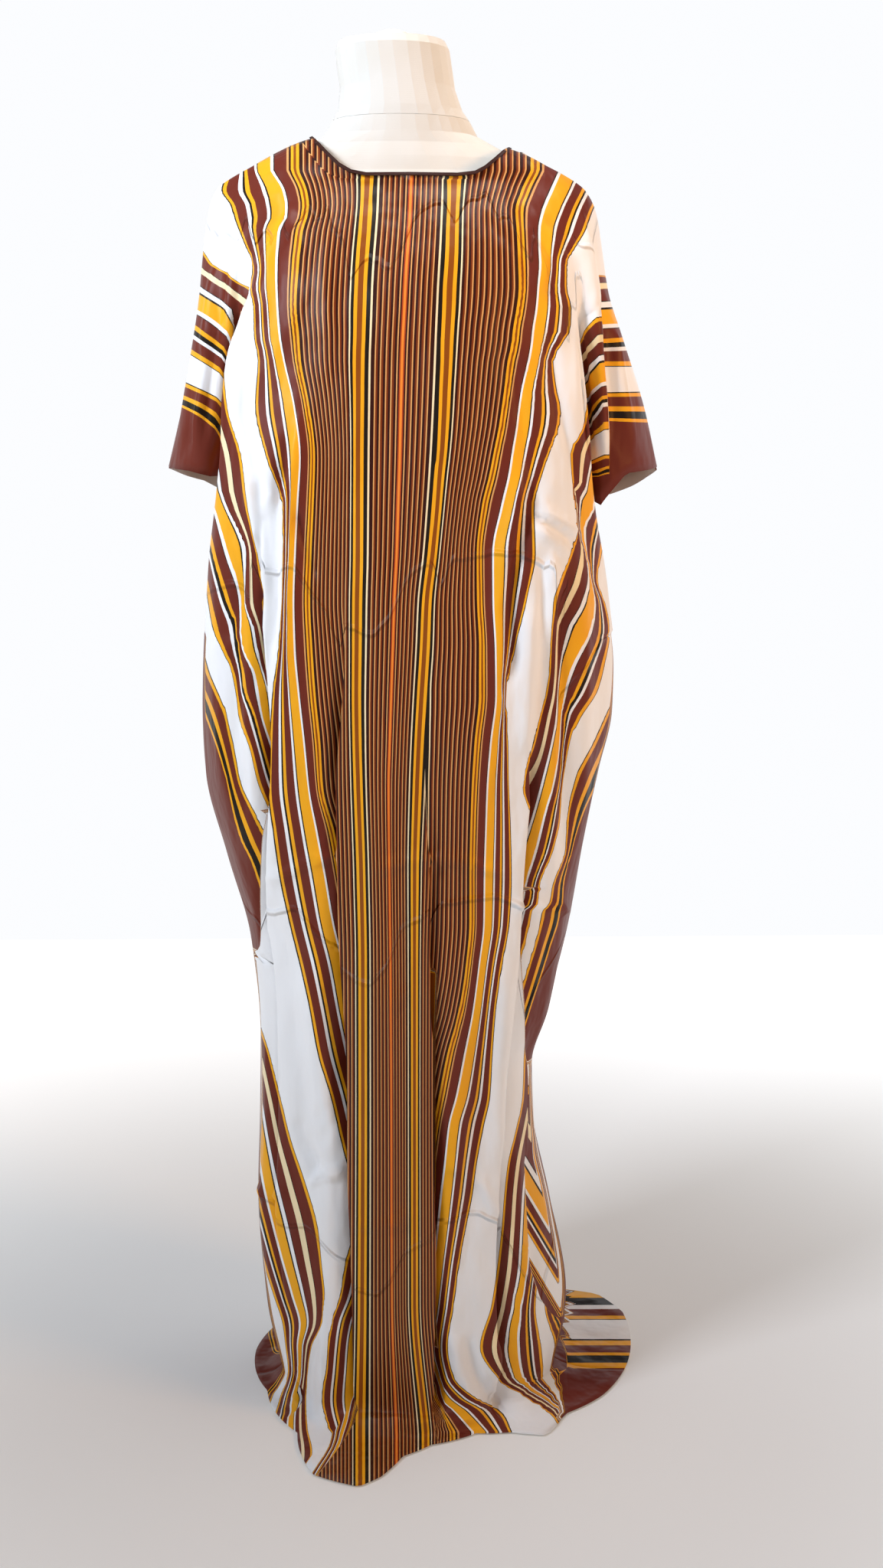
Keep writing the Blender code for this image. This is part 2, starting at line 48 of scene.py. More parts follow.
CAMERA_AT = Vector((0.0, -2.0, 1.10))
AIM_DOWN = math.radians(10.43)
AIM_RIGHT = math.radians(1.247)

camera_data = bpy.data.cameras.new("camera")
camera_data.sensor_width = 36.0
camera_data.lens = PHOTO_FOCUS / PHOTO_HEIGHT * camera_data.sensor_width
camera_data.clip_end = 50.0
camera = bpy.data.objects.new("camera", camera_data)
bpy.context.scene.collection.objects.link(camera)
camera.location = CAMERA_AT
camera.rotation_euler = (math.pi / 2 - AIM_DOWN, 0.0, -AIM_RIGHT)
bpy.context.scene.camera = camera


# A plain pale studio: a floor of matt white paper, which glows white further off, a soft light overhead, a
# cool window to the upper left and a warm room lamp to the right. The sky is white low down and dark above,
# and dimmer on the camera's side, so that folds keep their shade.
def linear(code):
    """An sRGB hex colour as linear values."""
    values = [int(code[at:at + 2], 16) / 255 for at in (1, 3, 5)]
    return [v / 12.92 if v <= 0.04045 else ((v + 0.055) / 1.055) ** 2.4 for v in values] + [1.0]


def node(tree, kind, settings={}, links={}):
    """Adds a node. A link's key is one of its inputs and its value another node's output or a value."""
    made = tree.nodes.new("ShaderNode" + kind)
    for name, value in settings.items():
        setattr(made, name, value)
    for name, value in links.items():
        if isinstance(value, bpy.types.NodeSocket):
            tree.links.new(value, made.inputs[name])
        else:
            made.inputs[name].default_value = value
    return made


def new_material(name):
    """A material with a Principled BSDF alone."""
    material = bpy.data.materials.new(name)
    material.use_nodes = True
    tree = material.node_tree
    tree.nodes.clear()
    shader = node(tree, "BsdfPrincipled")
    node(tree, "OutputMaterial", links={"Surface": shader.outputs[0]})
    return material, tree, shader


def new_object(name, mesh, smooth=True):
    """A bmesh as an object of the scene."""
    data = bpy.data.meshes.new(name)
    mesh.to_mesh(data)
    mesh.free()
    if smooth:
        data.shade_smooth()
    made = bpy.data.objects.new(name, data)
    bpy.context.scene.collection.objects.link(made)
    return made


sheet_of_paper = bmesh.new()
bmesh.ops.create_grid(sheet_of_paper, x_segments=1, y_segments=1, size=2.0)
floor = new_object("floor", sheet_of_paper, smooth=False)
paper, tree, shader = new_material("white paper")
shader.inputs["Base Color"].default_value = linear("#e4e3e1")
shader.inputs["Roughness"].default_value = 0.9
shader.inputs["Emission Color"].default_value = linear("#ffffff")
floor_place = node(tree, "TexCoord")
floor_far = node(tree, "VectorMath", {"operation": "LENGTH"}, {0: floor_place.outputs["Object"]})
glow = node(tree, "MapRange", {"interpolation_type": "SMOOTHSTEP"},
            {"Value": floor_far.outputs["Value"], "From Min": 0.4, "From Max": 1.7,
             "To Min": 0.12, "To Max": 0.85})
tree.links.new(glow.outputs[0], shader.inputs["Emission Strength"])
floor.data.materials.append(paper)

world = bpy.data.worlds.new("sky")
bpy.context.scene.world = world
world.use_nodes = True
sky = world.node_tree
sky_place = node(sky, "TexCoord")
sky_height = node(sky, "SeparateXYZ", links={0: sky_place.outputs["Generated"]})
sky_ramp = node(sky, "ValToRGB", links={"Fac": sky_height.outputs[2]})
sky_ramp.color_ramp.elements[0].position = 0.26
sky_ramp.color_ramp.elements[0].color = (0.97, 0.98, 1.0, 1.0)
sky_ramp.color_ramp.elements[1].position = 0.42
sky_ramp.color_ramp.elements[1].color = (0.14, 0.15, 0.17, 1.0)
sky_before = node(sky, "MapRange", links={"Value": sky_height.outputs[1], "From Min": -0.3, "From Max": 0.3,
                                          "To Min": 0.34, "To Max": 1.0})
sky.links.new(sky_ramp.outputs["Color"], sky.nodes["Background"].inputs["Color"])
sky.links.new(sky_before.outputs[0], sky.nodes["Background"].inputs["Strength"])
bpy.context.scene.view_settings.view_transform = "Standard"

# Sizes in metres, power in watts, spread in degrees. All point at the middle of the dress's upper half.
LIT_HEIGHT = 1.3
Light = namedtuple("Light", "name at size power spread colour")
LIGHTS = [
    Light("overhead light", (0.2, 0.0, 2.9), 0.9, 6.5, 100, "#ffffff"),
    Light("window light", (-1.6, -1.35, 2.25), 0.6, 11.0, 80, "#eef4ff"),
    Light("room light", (2.0, -1.2, 1.7), 0.7, 7.5, 90, "#ffc07a"),
]
for light in LIGHTS:
    lamp_data = bpy.data.lights.new(light.name, "AREA")
    lamp_data.size = light.size
    lamp_data.energy = light.power
    lamp_data.spread = math.radians(light.spread)
    lamp_data.color = linear(light.colour)[:3]
    lamp = bpy.data.objects.new(light.name, lamp_data)
    lamp.location = light.at
    lamp.rotation_euler = (Vector(light.at) - Vector((0, 0, LIT_HEIGHT))).to_track_quat("Z", "Y").to_euler()
    bpy.context.scene.collection.objects.link(lamp)


# The stand, hidden under the dress: a steel tube and a pressed steel foot plate, both sprayed with satin
# grey paint, which leaves a faint grain.
PAINT_GRAINS = 700.0  # grains in a metre, 1.4 mm each; a sprayed coat's own are 0.3 mm, too fine to show
WEAR_PATCHES = 14.0  # patches in a metre, 7 cm each


def coat_finish(name, colour):
    """Satin paint: a little uneven in colour and in shine, with a faint grain."""
    material, tree, shader = new_material(name)
    place = node(tree, "TexCoord")
    grain = node(tree, "TexNoise",
                 links={"Vector": place.outputs["Object"], "Scale": PAINT_GRAINS, "Detail": 2.0})
    worn = node(tree, "TexNoise",
                links={"Vector": place.outputs["Object"], "Scale": WEAR_PATCHES, "Detail": 4.0})
    mixed = node(tree, "Mix", {"data_type": "RGBA"},
                 {"Factor": worn.outputs[0], 6: linear(colour), 7: linear("#8a8a8b")})
    tree.links.new(mixed.outputs[2], shader.inputs["Base Color"])
    rough = node(tree, "MapRange", links={"Value": grain.outputs[0], "To Min": 0.38, "To Max": 0.55})
    tree.links.new(rough.outputs[0], shader.inputs["Roughness"])
    relief = node(tree, "Bump", links={"Strength": 0.2, "Distance": 0.0002, "Height": grain.outputs[0]})
    tree.links.new(relief.outputs[0], shader.inputs["Normal"])
    return material


def finish_cad(name, material):
    """Gives a piece of the CAD model its finish, and leaves its shape alone."""
    piece = bpy.data.objects[name]
    piece.data.materials.clear()
    piece.data.materials.append(material)


finish_cad("stand_pole", coat_finish("painted steel of the pole", "#959597"))
finish_cad("stand_base", coat_finish("painted steel of the base", "#919193"))


# The dress form: a padded torso under an off-white stretch cover, which a seam joins to the cover of the
# neck. The cover is a fine smooth knit, drawn tight, and its spare end is folded flat on top of the neck.
KNIT_RIBS = 260.0  # gives one rib each 1.2 mm, drawn a little coarser than the real knit so that it shows
KNIT_STITCHES = 1100.0  # stitches in a metre, 0.9 mm each
COVER_PATCHES = 9.0  # patches in a metre, 11 cm each
DRAWN_FOLDS = 22.0  # soft folds in a metre, 4.5 cm each


def cover_finish(name, colour, folds):
    """Stretch knit: fine ribs of stitches, a faint unevenness of colour, and soft folds. More `folds` lie
    closer together up the piece than around it."""
    material, tree, shader = new_material(name)
    place = node(tree, "TexCoord")
    tint = node(tree, "TexNoise",
                links={"Vector": place.outputs["Object"], "Scale": COVER_PATCHES, "Detail": 3.0})
    shade = node(tree, "MapRange", links={"Value": tint.outputs[0], "From Min": 0.35, "From Max": 0.65})
    mixed = node(tree, "Mix", {"data_type": "RGBA"},
                 {"Factor": shade.outputs[0], 6: linear(colour), 7: linear("#dcd9d0")})
    tree.links.new(mixed.outputs[2], shader.inputs["Base Color"])
    shader.inputs["Roughness"].default_value = 0.72
    shader.inputs["Sheen Weight"].default_value = 0.12
    shader.inputs["Specular IOR Level"].default_value = 0.3
    ribs = node(tree, "TexWave", {"wave_type": "BANDS", "bands_direction": "Z"},
                {"Vector": place.outputs["Object"], "Scale": KNIT_RIBS, "Distortion": 0.6, "Detail": 1.0})
    stitches = node(tree, "TexNoise", links={"Vector": place.outputs["Object"], "Scale": KNIT_STITCHES})
    ribbed = node(tree, "Bump", links={"Strength": 0.12, "Distance": 0.0003, "Height": ribs.outputs["Fac"]})
    knit = node(tree, "Bump", links={"Strength": 0.2, "Distance": 0.0003, "Height": stitches.outputs[0],
                                     "Normal": ribbed.outputs[0]})
    stretched = node(tree, "Mapping", links={"Vector": place.outputs["Object"], "Scale": (1.0, 1.0, folds)})
    drawn = node(tree, "TexNoise",
                 links={"Vector": stretched.outputs[0], "Scale": DRAWN_FOLDS, "Detail": 2.0})
    relief = node(tree, "Bump", links={"Strength": 0.35, "Distance": 0.006, "Height": drawn.outputs[0],
                                       "Normal": knit.outputs[0]})
    tree.links.new(relief.outputs[0], shader.inputs["Normal"])
    return material


finish_cad("form_torso", cover_finish("stretch cover of the torso", "#e4e3dd", 0.4))
finish_cad("form_neck", cover_finish("stretch cover of the neck", "#e4e4df", 0.25))
finish_cad("neck_cap", cover_finish("folded cover of the neck's top", "#e8e7e2", 3.5))


# The two panels of the dress: thin satin-faced cloth, printed on one side. Each is one rectangle 107 cm wide
# and 152 cm long, its sleeves cut in one with it, sewn to the other along the shoulders, the sleeves' tops
# and the sides. It is too long and too wide for the form, so it hangs in folds and lies on the floor.
#
# A panel is laid out in rows, from the shoulder down to the hem, and each row in columns, from the middle
# out. Sizes in this section's tables are centimetres.
CM = 0.01  # metres in a centimetre
PANELS = {"front": -1, "back": 1}
SIDES = {"left": -1, "right": 1}
PANEL_WIDTH, PANEL_LENGTH = 107.0, 152.0
HALF_CLOTH = PANEL_WIDTH / 2

# The shoulder ridge with the sleeve's top edge, and the body below the cuffs: half-width to each side.
Width = namedtuple("Width", "height left right")
RIDGE = [
    Width(143.6, 9.4, 9.4),
    Width(142.5, 11.6, 11.6),
    Width(138.4, 19.7, 19.7),
    Width(135.8, 20.8, 21.1),
    Width(131.8, 21.4, 21.8),
    Width(127.2, 21.9, 22.6),
    Width(121.2, 22.9, 24.8),
    Width(115.2, 24.2, 26.8),
    Width(109.0, 25.8, 28.3),
]
BODY = [
    Width(112.0, 20.2, 20.8),
    Width(104.0, 21.0, 21.7),
    Width(94.0, 22.1, 23.1),
    Width(82.0, 22.6, 23.5),
    Width(75.0, 22.3, 22.3),
    Width(66.0, 20.1, 20.5),
    Width(56.0, 17.4, 18.8),
    Width(48.0, 16.8, 16.9),
    Width(41.0, 16.9, 14.7),
    Width(34.0, 17.1, 15.1),
    Width(23.0, 17.5, 17.3),
    Width(11.0, 16.4, 19.3),
    Width(4.0, 15.0, 18.2),
    Width(0.0, 14.2, 17.2),
]

# How far the cloth stands before and behind the form's axis, and the sideways drift of its middle.
Depth = namedtuple("Depth", "height front back middle")
DEPTH = [
    Depth(143.6, 7.4, 7.8, 1.0),
    Depth(141.0, 7.8, 8.6, 1.0),
    Depth(138.8, 8.0, 9.5, 0.9),
    Depth(136.0, 9.8, 10.6, 0.7),
    Depth(133.0, 11.9, 11.4, 0.5),
    Depth(130.0, 13.5, 12.0, 0.4),
    Depth(127.0, 14.5, 12.3, 0.2),
    Depth(121.0, 15.2, 12.5, 0.0),
    Depth(110.0, 15.4, 12.6, -0.4),
    Depth(98.0, 15.4, 13.0, -0.8),
    Depth(86.0, 15.4, 14.3, -1.1),
    Depth(72.0, 15.1, 15.0, -1.4),
    Depth(50.0, 14.5, 15.6, -1.4),
    Depth(25.0, 13.8, 16.4, -1.3),
    Depth(6.0, 13.0, 17.0, -1.2),
    Depth(0.0, 12.6, 17.4, -1.2),
]

# The neckline: its sideways reach at each share of the way down from the neck point.
Neck = namedtuple("Neck", "drop left right")
NECK_POINT = {"left": 143.6, "right": 142.6}
NECK_BOTTOM = {"front": 138.8, "back": 142.0}
NECK = [
    Neck(0.0, 9.4, 11.5),
    Neck(0.3, 8.5, 10.6),
    Neck(0.55, 7.4, 9.6),
    Neck(0.78, 6.3, 8.6),
    Neck(0.93, 5.1, 7.6),
    Neck(1.0, 3.6, 5.8),
]

# Rows of the upper part: where each starts, a share of the neck's drop or a height in the middle, and
# where it ends on the ridge. The rows between are spaced evenly in `steps`.
Slope = namedtuple("Slope", "part front back outer steps")
SLOPES = [
    Slope("neck", 0.0, 0.0, 138.4, 2),
    Slope("neck", 0.3, 0.3, 137.6, 2),
    Slope("neck", 0.55, 0.55, 136.8, 2),
    Slope("neck", 0.78, 0.78, 136.0, 2),
    Slope("neck", 0.93, 0.93, 135.2, 2),
    Slope("neck", 1.0, 1.0, 134.2, 1),
    Slope("chest", 138.8, 142.0, 133.0, 4),
    Slope("chest", 136.0, 138.6, 131.4, 4),
    Slope("chest", 132.8, 134.2, 129.6, 4),
    Slope("chest", 129.2, 129.8, 127.6, 4),
    Slope("chest", 125.4, 125.4, 125.0, 4),
    Slope("chest", 121.6, 121.6, 121.8, 4),
    Slope("chest", 117.4, 117.4, 118.0, 4),
    Slope("chest", 112.8, 112.8, 113.8, 5),
    Slope("cuff", 107.4, 107.4, 109.0, 4),
]
ROW_STEP = 0.64  # between the rows of the skirt
ROW_SAG = 1.3  # how late a row turns from its height in the middle to that on the ridge
SKIRT_TOP, SKIRT_LOW = 104.5, 2.4

# The valley between the body and the sleeve: its lip, its bottom, how far back that goes, and how far
# out the sleeve's face stands.
Valley = namedtuple("Valley", "height lip_left lip_right floor_left floor_right share face")
VALLEY = [
    Valley(132.5, 15.4, 16.6, 15.9, 17.1, 0.0, 10.0),
    Valley(126.0, 16.2, 18.0, 15.9, 17.7, 0.12, 10.0),
    Valley(120.7, 18.0, 18.7, 17.2, 17.9, 0.45, 9.0),
    Valley(115.5, 18.9, 19.4, 17.2, 18.0, 0.74, 8.6),
    Valley(109.0, 19.8, 20.3, 16.8, 17.6, 0.96, 7.8),
    Valley(104.0, 20.4, 21.2, 17.7, 18.4, 1.0, 7.6),
    Valley(98.0, 21.3, 22.3, 19.9, 20.8, 1.0, 7.6),
    Valley(91.0, 21.9, 23.0, 22.2, 23.2, 1.0, 7.6),
]

# The deep folds: the edge's distance from the middle at five heights, how far the pocket behind it
# reaches at three, and its lean, 0 lying flat under the middle and 90 straight in.
Fold = namedtuple("Fold", "panel side top edge_100 edge_80 edge_55 edge_30 edge_0 at_80 at_50 at_15 lean")
FOLDS = [
    Fold("front", "left", 100, 5.9, 5.6, 5.4, 5.0, 4.6, 2.0, 6.4, 8.0, 46),
    Fold("front", "right", 86, 4.4, 4.3, 4.2, 4.4, 4.4, 0.0, 2.0, 6.8, 80),
    Fold("front", "left", 106, 14.4, 12.9, 13.9, 13.6, 11.4, 6.0, 9.0, 8.0, 56),
    Fold("front", "right", 92, 17.2, 15.6, 13.8, 12.0, 11.4, 0.4, 9.0, 8.4, 56),
    Fold("back", "left", 98, 6.6, 6.8, 7.0, 7.2, 7.4, 3.0, 5.6, 7.4, 66),
    Fold("back", "right", 94, 7.6, 7.2, 7.0, 6.8, 6.6, 2.4, 5.2, 7.6, 70),
    Fold("back", "left", 104, 14.6, 14.0, 13.2, 12.6, 12.0, 4.4, 6.4, 4.8, 48),
    Fold("back", "right", 104, 14.8, 14.2, 13.4, 12.6, 12.0, 4.6, 6.2, 5.0, 48),
]
FOLD_LAYER = 0.62  # between the layers of a fold
FOLD_LEAST = 2.4  # how deep a pocket is once it is fully a fold
EVEN = (-2.1, -1.4, -0.7, 0.0, 0.7, 1.4, 2.1)  # a fold's points where it has smoothed out
CREST, RETURN = -0.45, 2.2  # how far before and past the edge the cloth starts and ends its fold
SEGMENTS = (2, 1, 2)  # points before the first fold, between the folds and after the second
WALL_STEPS = 3  # points from the lip to the valley's bottom or the side seam
SLEEVE_STEPS = 7  # points from the valley's bottom to the sleeve's top edge
COLUMN_GAP = 0.4  # between the first points beyond the lip where there is no valley
VALLEY_WIDTH = 0.6
SLEEVE_ROUND = 0.87  # how full the sleeve's section is; 1 is an ellipse
SEAM_GAP = 0.03

# Where the hem lies on the floor: degrees turned from the front towards +X, and its reach from the axis.
Hem = namedtuple("Hem", "turn reach")
HEM = [
    Hem(-180, 19.6),
    Hem(-150, 19.4),
    Hem(-125, 20.6),
    Hem(-108, 19.6),
    Hem(-77, 17.0),
    Hem(-43, 18.2),
    Hem(-25, 24.1),
    Hem(-12, 24.8),
    Hem(-7, 22.6),
    Hem(-1, 18.4),
    Hem(10, 16.4),
    Hem(30, 16.0),
    Hem(41, 18.2),
    Hem(48, 21.6),
    Hem(62, 21.0),
    Hem(76, 24.1),
    Hem(85, 25.7),
    Hem(107, 29.8),
    Hem(118, 32.0),
    Hem(128, 32.4),
    Hem(137, 29.6),
    Hem(150, 22.6),
    Hem(180, 19.6),
]
HEM_STEPS = 9
HEM_HEIGHT = 0.35
HEM_LEAST = 1.8  # how far the cloth lies out on the floor at least

# How square a section is at each height: 2 is an ellipse, and more is squarer. The sleeve's section starts
# at SLEEVE_LOW and the body's ends at BODY_HIGH.
SQUARENESS = {0: 2.4, 80: 2.5, 95: 2.7, 108: 3.0, 109.5: 2.3, 125: 2.3, 143: 2.05}
BODY_HIGH, SLEEVE_LOW = 108, 109.5
BLEND_TOP, BLEND_LENGTH = 122, 30  # where the section with sleeves passes into that of the body alone
CROWN_LIFT, CROWN_HALF = 1.3, 5.5  # the soft crown of the middle strip of the skirt
CROWN_FROM, CROWN_WHOLE = 95, 50  # the heights where it starts and is whole
CROWN_END, CROWN_FADE = 1, 12  # where it ends above the floor, and over how much it fades out there
LIP_SHARE = 0.95  # where the lip lies in the body's half-width below the valley
WALL_BLEND_FROM, WALL_BLEND = 2, 6  # above the valley's end, and over how much its wall turns into a side
VALLEY_WHOLE = 0.3  # the share from which a row follows the valley fully
WALL_LEAST, CORNER_LEAST = 0.6, 0.4  # how far the wall's end and the corner behind it stay from the seam


def eased(value):
    """0 up to 0, 1 from 1 on, and smooth between."""
    value = np.clip(value, 0.0, 1.0)
    return value * value * (3 - 2 * value)


def curve(xs, ys, at):
    """A smooth curve through points in order, which never swings past them."""
    xs, ys = np.asarray(xs, float), np.asarray(ys, float)
    gaps = np.diff(xs)
    rises = np.diff(ys) / gaps
    slopes = np.concatenate([rises[:1], np.zeros(len(xs) - 2), rises[-1:]])
    same = rises[:-1] * rises[1:] > 0
    slopes[1:-1][same] = (2 * rises[:-1] * rises[1:])[same] / (rises[:-1] + rises[1:])[same]
    at = np.clip(np.asarray(at, float), xs[0], xs[-1])
    index = np.clip(np.searchsorted(xs, at, side="right") - 1, 0, len(gaps) - 1)
    gap = gaps[index]
    t = (at - xs[index]) / gap
    low, high = ys[index], ys[index + 1]
    return (
        low * (1 + 2 * t) * (1 - t) ** 2
        + high * t * t * (3 - 2 * t)
        + gap * (slopes[index] * t * (1 - t) ** 2 - slopes[index + 1] * t * t * (1 - t))
    )


def along(points):
    """How far each point lies along the line through them all."""
    return np.concatenate([[0.0], np.cumsum(np.linalg.norm(np.diff(points, axis=0), axis=1))])


def read(table, height, column):
    """A column of a table whose rows start with a height, at any height."""
    rows = sorted(table)
    return curve([row[0] for row in rows], [getattr(row, column) for row in rows], height)


def squareness(height):
    """The exponent of a section."""
    return np.interp(height, list(SQUARENESS), list(SQUARENESS.values()))


def oval(share, exponent):
    """How far a section stands out at a share of its half-width."""
    return np.maximum(0.0, 1.0 - np.minimum(1.0, np.maximum(share, 0.0)) ** exponent) ** (1.0 / exponent)


def body_depth(panel, side, height, across):
    """How far the body of the dress stands out at a place across it."""
    middle = read(DEPTH, height, "middle")
    depth = read(DEPTH, height, panel)
    ridge = SIDES[side] * read(RIDGE, height, side) - middle
    whole = depth * oval((across - middle) / ridge, squareness(np.maximum(height, SLEEVE_LOW)))
    half = SIDES[side] * read(BODY, height, side) - middle
    body = depth * oval((across - middle) / half, squareness(np.minimum(height, BODY_HIGH)))
    out = whole + (body - whole) * eased((BLEND_TOP - height) / BLEND_LENGTH)
    if panel == "front":
        crown = CROWN_LIFT * eased((CROWN_FROM - height) / (CROWN_FROM - CROWN_WHOLE))
        crown = crown * eased((height - CROWN_END) / CROWN_FADE)
        out = out + crown * np.maximum(0.0, 1 - ((across - middle) / CROWN_HALF) ** 2)
    return PANELS[panel] * out


def lip_of(side, height):
    """The place across of the body's outer fold, where the valley to the sleeve starts."""
    lip = float(read(VALLEY, height, "lip_" + side))
    if height < VALLEY[-1].height:
        lip = LIP_SHARE * float(read(BODY, height, side))
    return SIDES[side] * lip


def pocket_points(fold, height):
    """The fold's seven points as (along, outward) from its edge, in the section's own directions."""
    heights = [1.5, 8.0, 15.0, 50.0, 80.0, 80.0 + 0.6 * (fold.top - 80.0), fold.top]
    depths = [0.0, fold.at_15 * 0.8, fold.at_15, fold.at_50, fold.at_80, fold.at_80 * 0.25, 0.0]
    depth = float(np.interp(height, heights, depths))
    reach = max(FOLD_LEAST, depth)
    lean = math.radians(fold.lean)
    into = (-math.cos(lean), -math.sin(lean))
    across = (math.sin(lean), -math.cos(lean))
    layer = FOLD_LAYER
    # How far into the pocket each point lies, and how far from the edge's own layer.
    steps = [(-0.08, 0.5 * layer), (0.4, layer), (reach, 1.05 * layer)]
    steps += [(reach, 1.75 * layer), (0.5, 1.8 * layer)]
    folded = [(CREST, 0.0)]
    folded += [(into[0] * far + across[0] * wide, into[1] * far + across[1] * wide) for far, wide in steps]
    folded += [(RETURN, -0.9 * layer * math.cos(lean))]
    share = min(1.0, depth / FOLD_LEAST)
    return [(even + (ahead - even) * share, out * share) for even, (ahead, out) in zip(EVEN, folded)]


# A row's heights in the middle and on the ridge, and where it starts across.
Row = namedtuple("Row", "part inner outer start")


def rows_of(panel, side):
    """The rows of one half of a panel, from the shoulder down to just above the floor."""
    rows = []
    drops = [neck.drop for neck in NECK]
    for upper, lower in zip(SLOPES, SLOPES[1:] + [None]):
        last = lower is None
        for step in range(upper.steps):
            share = step / upper.steps
            inner = getattr(upper, panel)
            outer = upper.outer + ((SKIRT_TOP if last else lower.outer) - upper.outer) * share
            if upper.part == "neck":
                goal = getattr(lower, panel) if lower.part == "neck" else 1.0
                inner += (goal - inner) * share
                reach = float(curve(drops, [getattr(neck, side) for neck in NECK], inner))
                height = NECK_POINT[side] + (NECK_BOTTOM[panel] - NECK_POINT[side]) * inner
                rows.append(Row("neck", height, outer, SIDES[side] * reach))
            else:
                inner += ((SKIRT_TOP if last else getattr(lower, panel)) - inner) * share
                part = "below" if last and step else upper.part
                rows.append(Row(part, inner, outer, float(read(DEPTH, inner, "middle"))))
    count = round((SKIRT_TOP - SKIRT_LOW) / ROW_STEP)
    for step in range(count + 1):
        height = SKIRT_TOP + (SKIRT_LOW - SKIRT_TOP) * step / count
        rows.append(Row("skirt", height, height, float(read(DEPTH, height, "middle"))))
    return rows


def ridge_at(side, height):
    """The place across of the ridge."""
    return SIDES[side] * float(read(RIDGE, height, side))


def place(panel, side, row, across):
    """The points of a row at places across the body."""
    across = np.asarray(across, float)
    share = np.clip((across - row.start) / (ridge_at(side, row.outer) - row.start), 0.0, 1.0)
    height = row.inner + (row.outer - row.inner) * share ** ROW_SAG
    return np.stack([across, body_depth(panel, side, height, across), height], axis=-1)


def lip_point(panel, side, row):
    """Where a row leaves the body's face."""
    lip = place(panel, side, row, lip_of(side, row.outer))
    return place(panel, side, row, lip_of(side, lip[2]))


LINE_SAMPLES = 121  # points along a row, by which its lengths are measured
FOLDS_FROM, FOLDS_WHOLE = 134, 118  # the ridge heights between which the folds' places settle
PROBE = 0.4  # how far to each side of a point the row's direction is taken
AFTER_FOLD = 0.9  # how far past a fold the next stretch starts
BEFORE_LIP = 1.6  # how far a fold keeps from the lip


def body_points(panel, side, row):
    """A row's points from its inner end to the body's lip, folds included."""
    lip = lip_point(panel, side, row)
    shares = np.sin(np.pi / 2 * np.linspace(0.0, 1.0, LINE_SAMPLES))
    line = place(panel, side, row, row.start + (lip[0] - row.start) * shares)
    lengths = along(line)
    anchored = float(eased((FOLDS_FROM - row.outer) / (FOLDS_FROM - FOLDS_WHOLE)))
    across = np.abs(line[:, 0] - row.start)
    stations = []
    last = 0.0
    for fold, steps in zip([f for f in FOLDS if (f.panel, f.side) == (panel, side)] + [None], SEGMENTS):
        reach = lengths[-1]
        if fold is not None:
            where = curve([0, 30, 55, 80, 100], fold[7:2:-1], row.outer)
            edge = min(float(np.interp(where, across, lengths)), lengths[-1] - EVEN[-1] - BEFORE_LIP)
            reach = edge + EVEN[0]
        stations += [(last + (reach - last) * step / steps, 0.0) for step in range(steps)]
        if fold is not None:
            stations += [(edge + ahead, out) for ahead, out in pocket_points(fold, row.outer)]
            last = edge + EVEN[-1] + AFTER_FOLD
    points = []
    for index, (distance, out) in enumerate(stations):
        even = lengths[-1] * index / len(stations)
        at = even + (distance - even) * anchored
        back, point, fore = [
            np.array([np.interp(at + step, lengths, line[:, axis]) for axis in range(3)])
            for step in (-PROBE, 0, PROBE)
        ]
        ahead = (fore - back) / np.linalg.norm(fore - back)
        outward = np.array([ahead[1], -ahead[0], 0.0])
        outward *= out * anchored / np.linalg.norm(outward)
        points.append(point + outward * SIDES[side] * -PANELS[panel])
    return points + [lip]


def plain_point(panel, side, row, lip, step):
    """Where a column beyond the lip lies on a row that has no valley."""
    near = min(step, WALL_STEPS + 1)
    start = lip[0] + SIDES[side] * COLUMN_GAP * near
    spread = math.sin(math.pi / 2 * (step - near) / (SLEEVE_STEPS - 1))
    return place(panel, side, row, start + (ridge_at(side, row.outer) - start) * spread)


def wall_points(panel, side, row, lip):
    """From the lip to the valley's bottom or, lower down, round to the side seam."""
    seam = PANELS[panel] * SEAM_GAP / 2
    height = row.outer if row.part in ("skirt", "below") else lip[2]
    if row.part in ("skirt", "below"):
        table, column = (VALLEY, "floor_" + side) if height > VALLEY[-1].height else (BODY, side)
        end = np.array([SIDES[side] * float(read(table, height, column)), seam, height])
    else:
        share = float(read(VALLEY, lip[2], "share"))
        bottom = SIDES[side] * float(read(VALLEY, lip[2], "floor_" + side))
        end = np.array([bottom, lip[1] * (1 - share), lip[2]])
        end[1] = PANELS[panel] * max(WALL_LEAST, abs(end[1]))
    if row.part == "cuff":
        end[1] = seam
    points = []
    for step in range(1, WALL_STEPS + 1):
        share = step / WALL_STEPS
        straight = lip + (end - lip) * share
        if row.part in ("skirt", "below"):
            half = SIDES[side] * float(read(BODY, lip[2], side))
            bulge = lip[0] + (half - lip[0]) * math.sin(math.pi / 2 * share)
            other = np.array([bulge, float(body_depth(panel, side, lip[2], bulge)), lip[2]])
            turned = float(eased((VALLEY[-1].height + WALL_BLEND_FROM - lip[2]) / WALL_BLEND))
            follow = 1 - turned * (step < WALL_STEPS)
        else:
            other = plain_point(panel, side, row, lip, step)
            follow = float(eased(float(read(VALLEY, lip[2], "share")) / VALLEY_WHOLE))
        points.append(other + (straight - other) * follow)
    return points


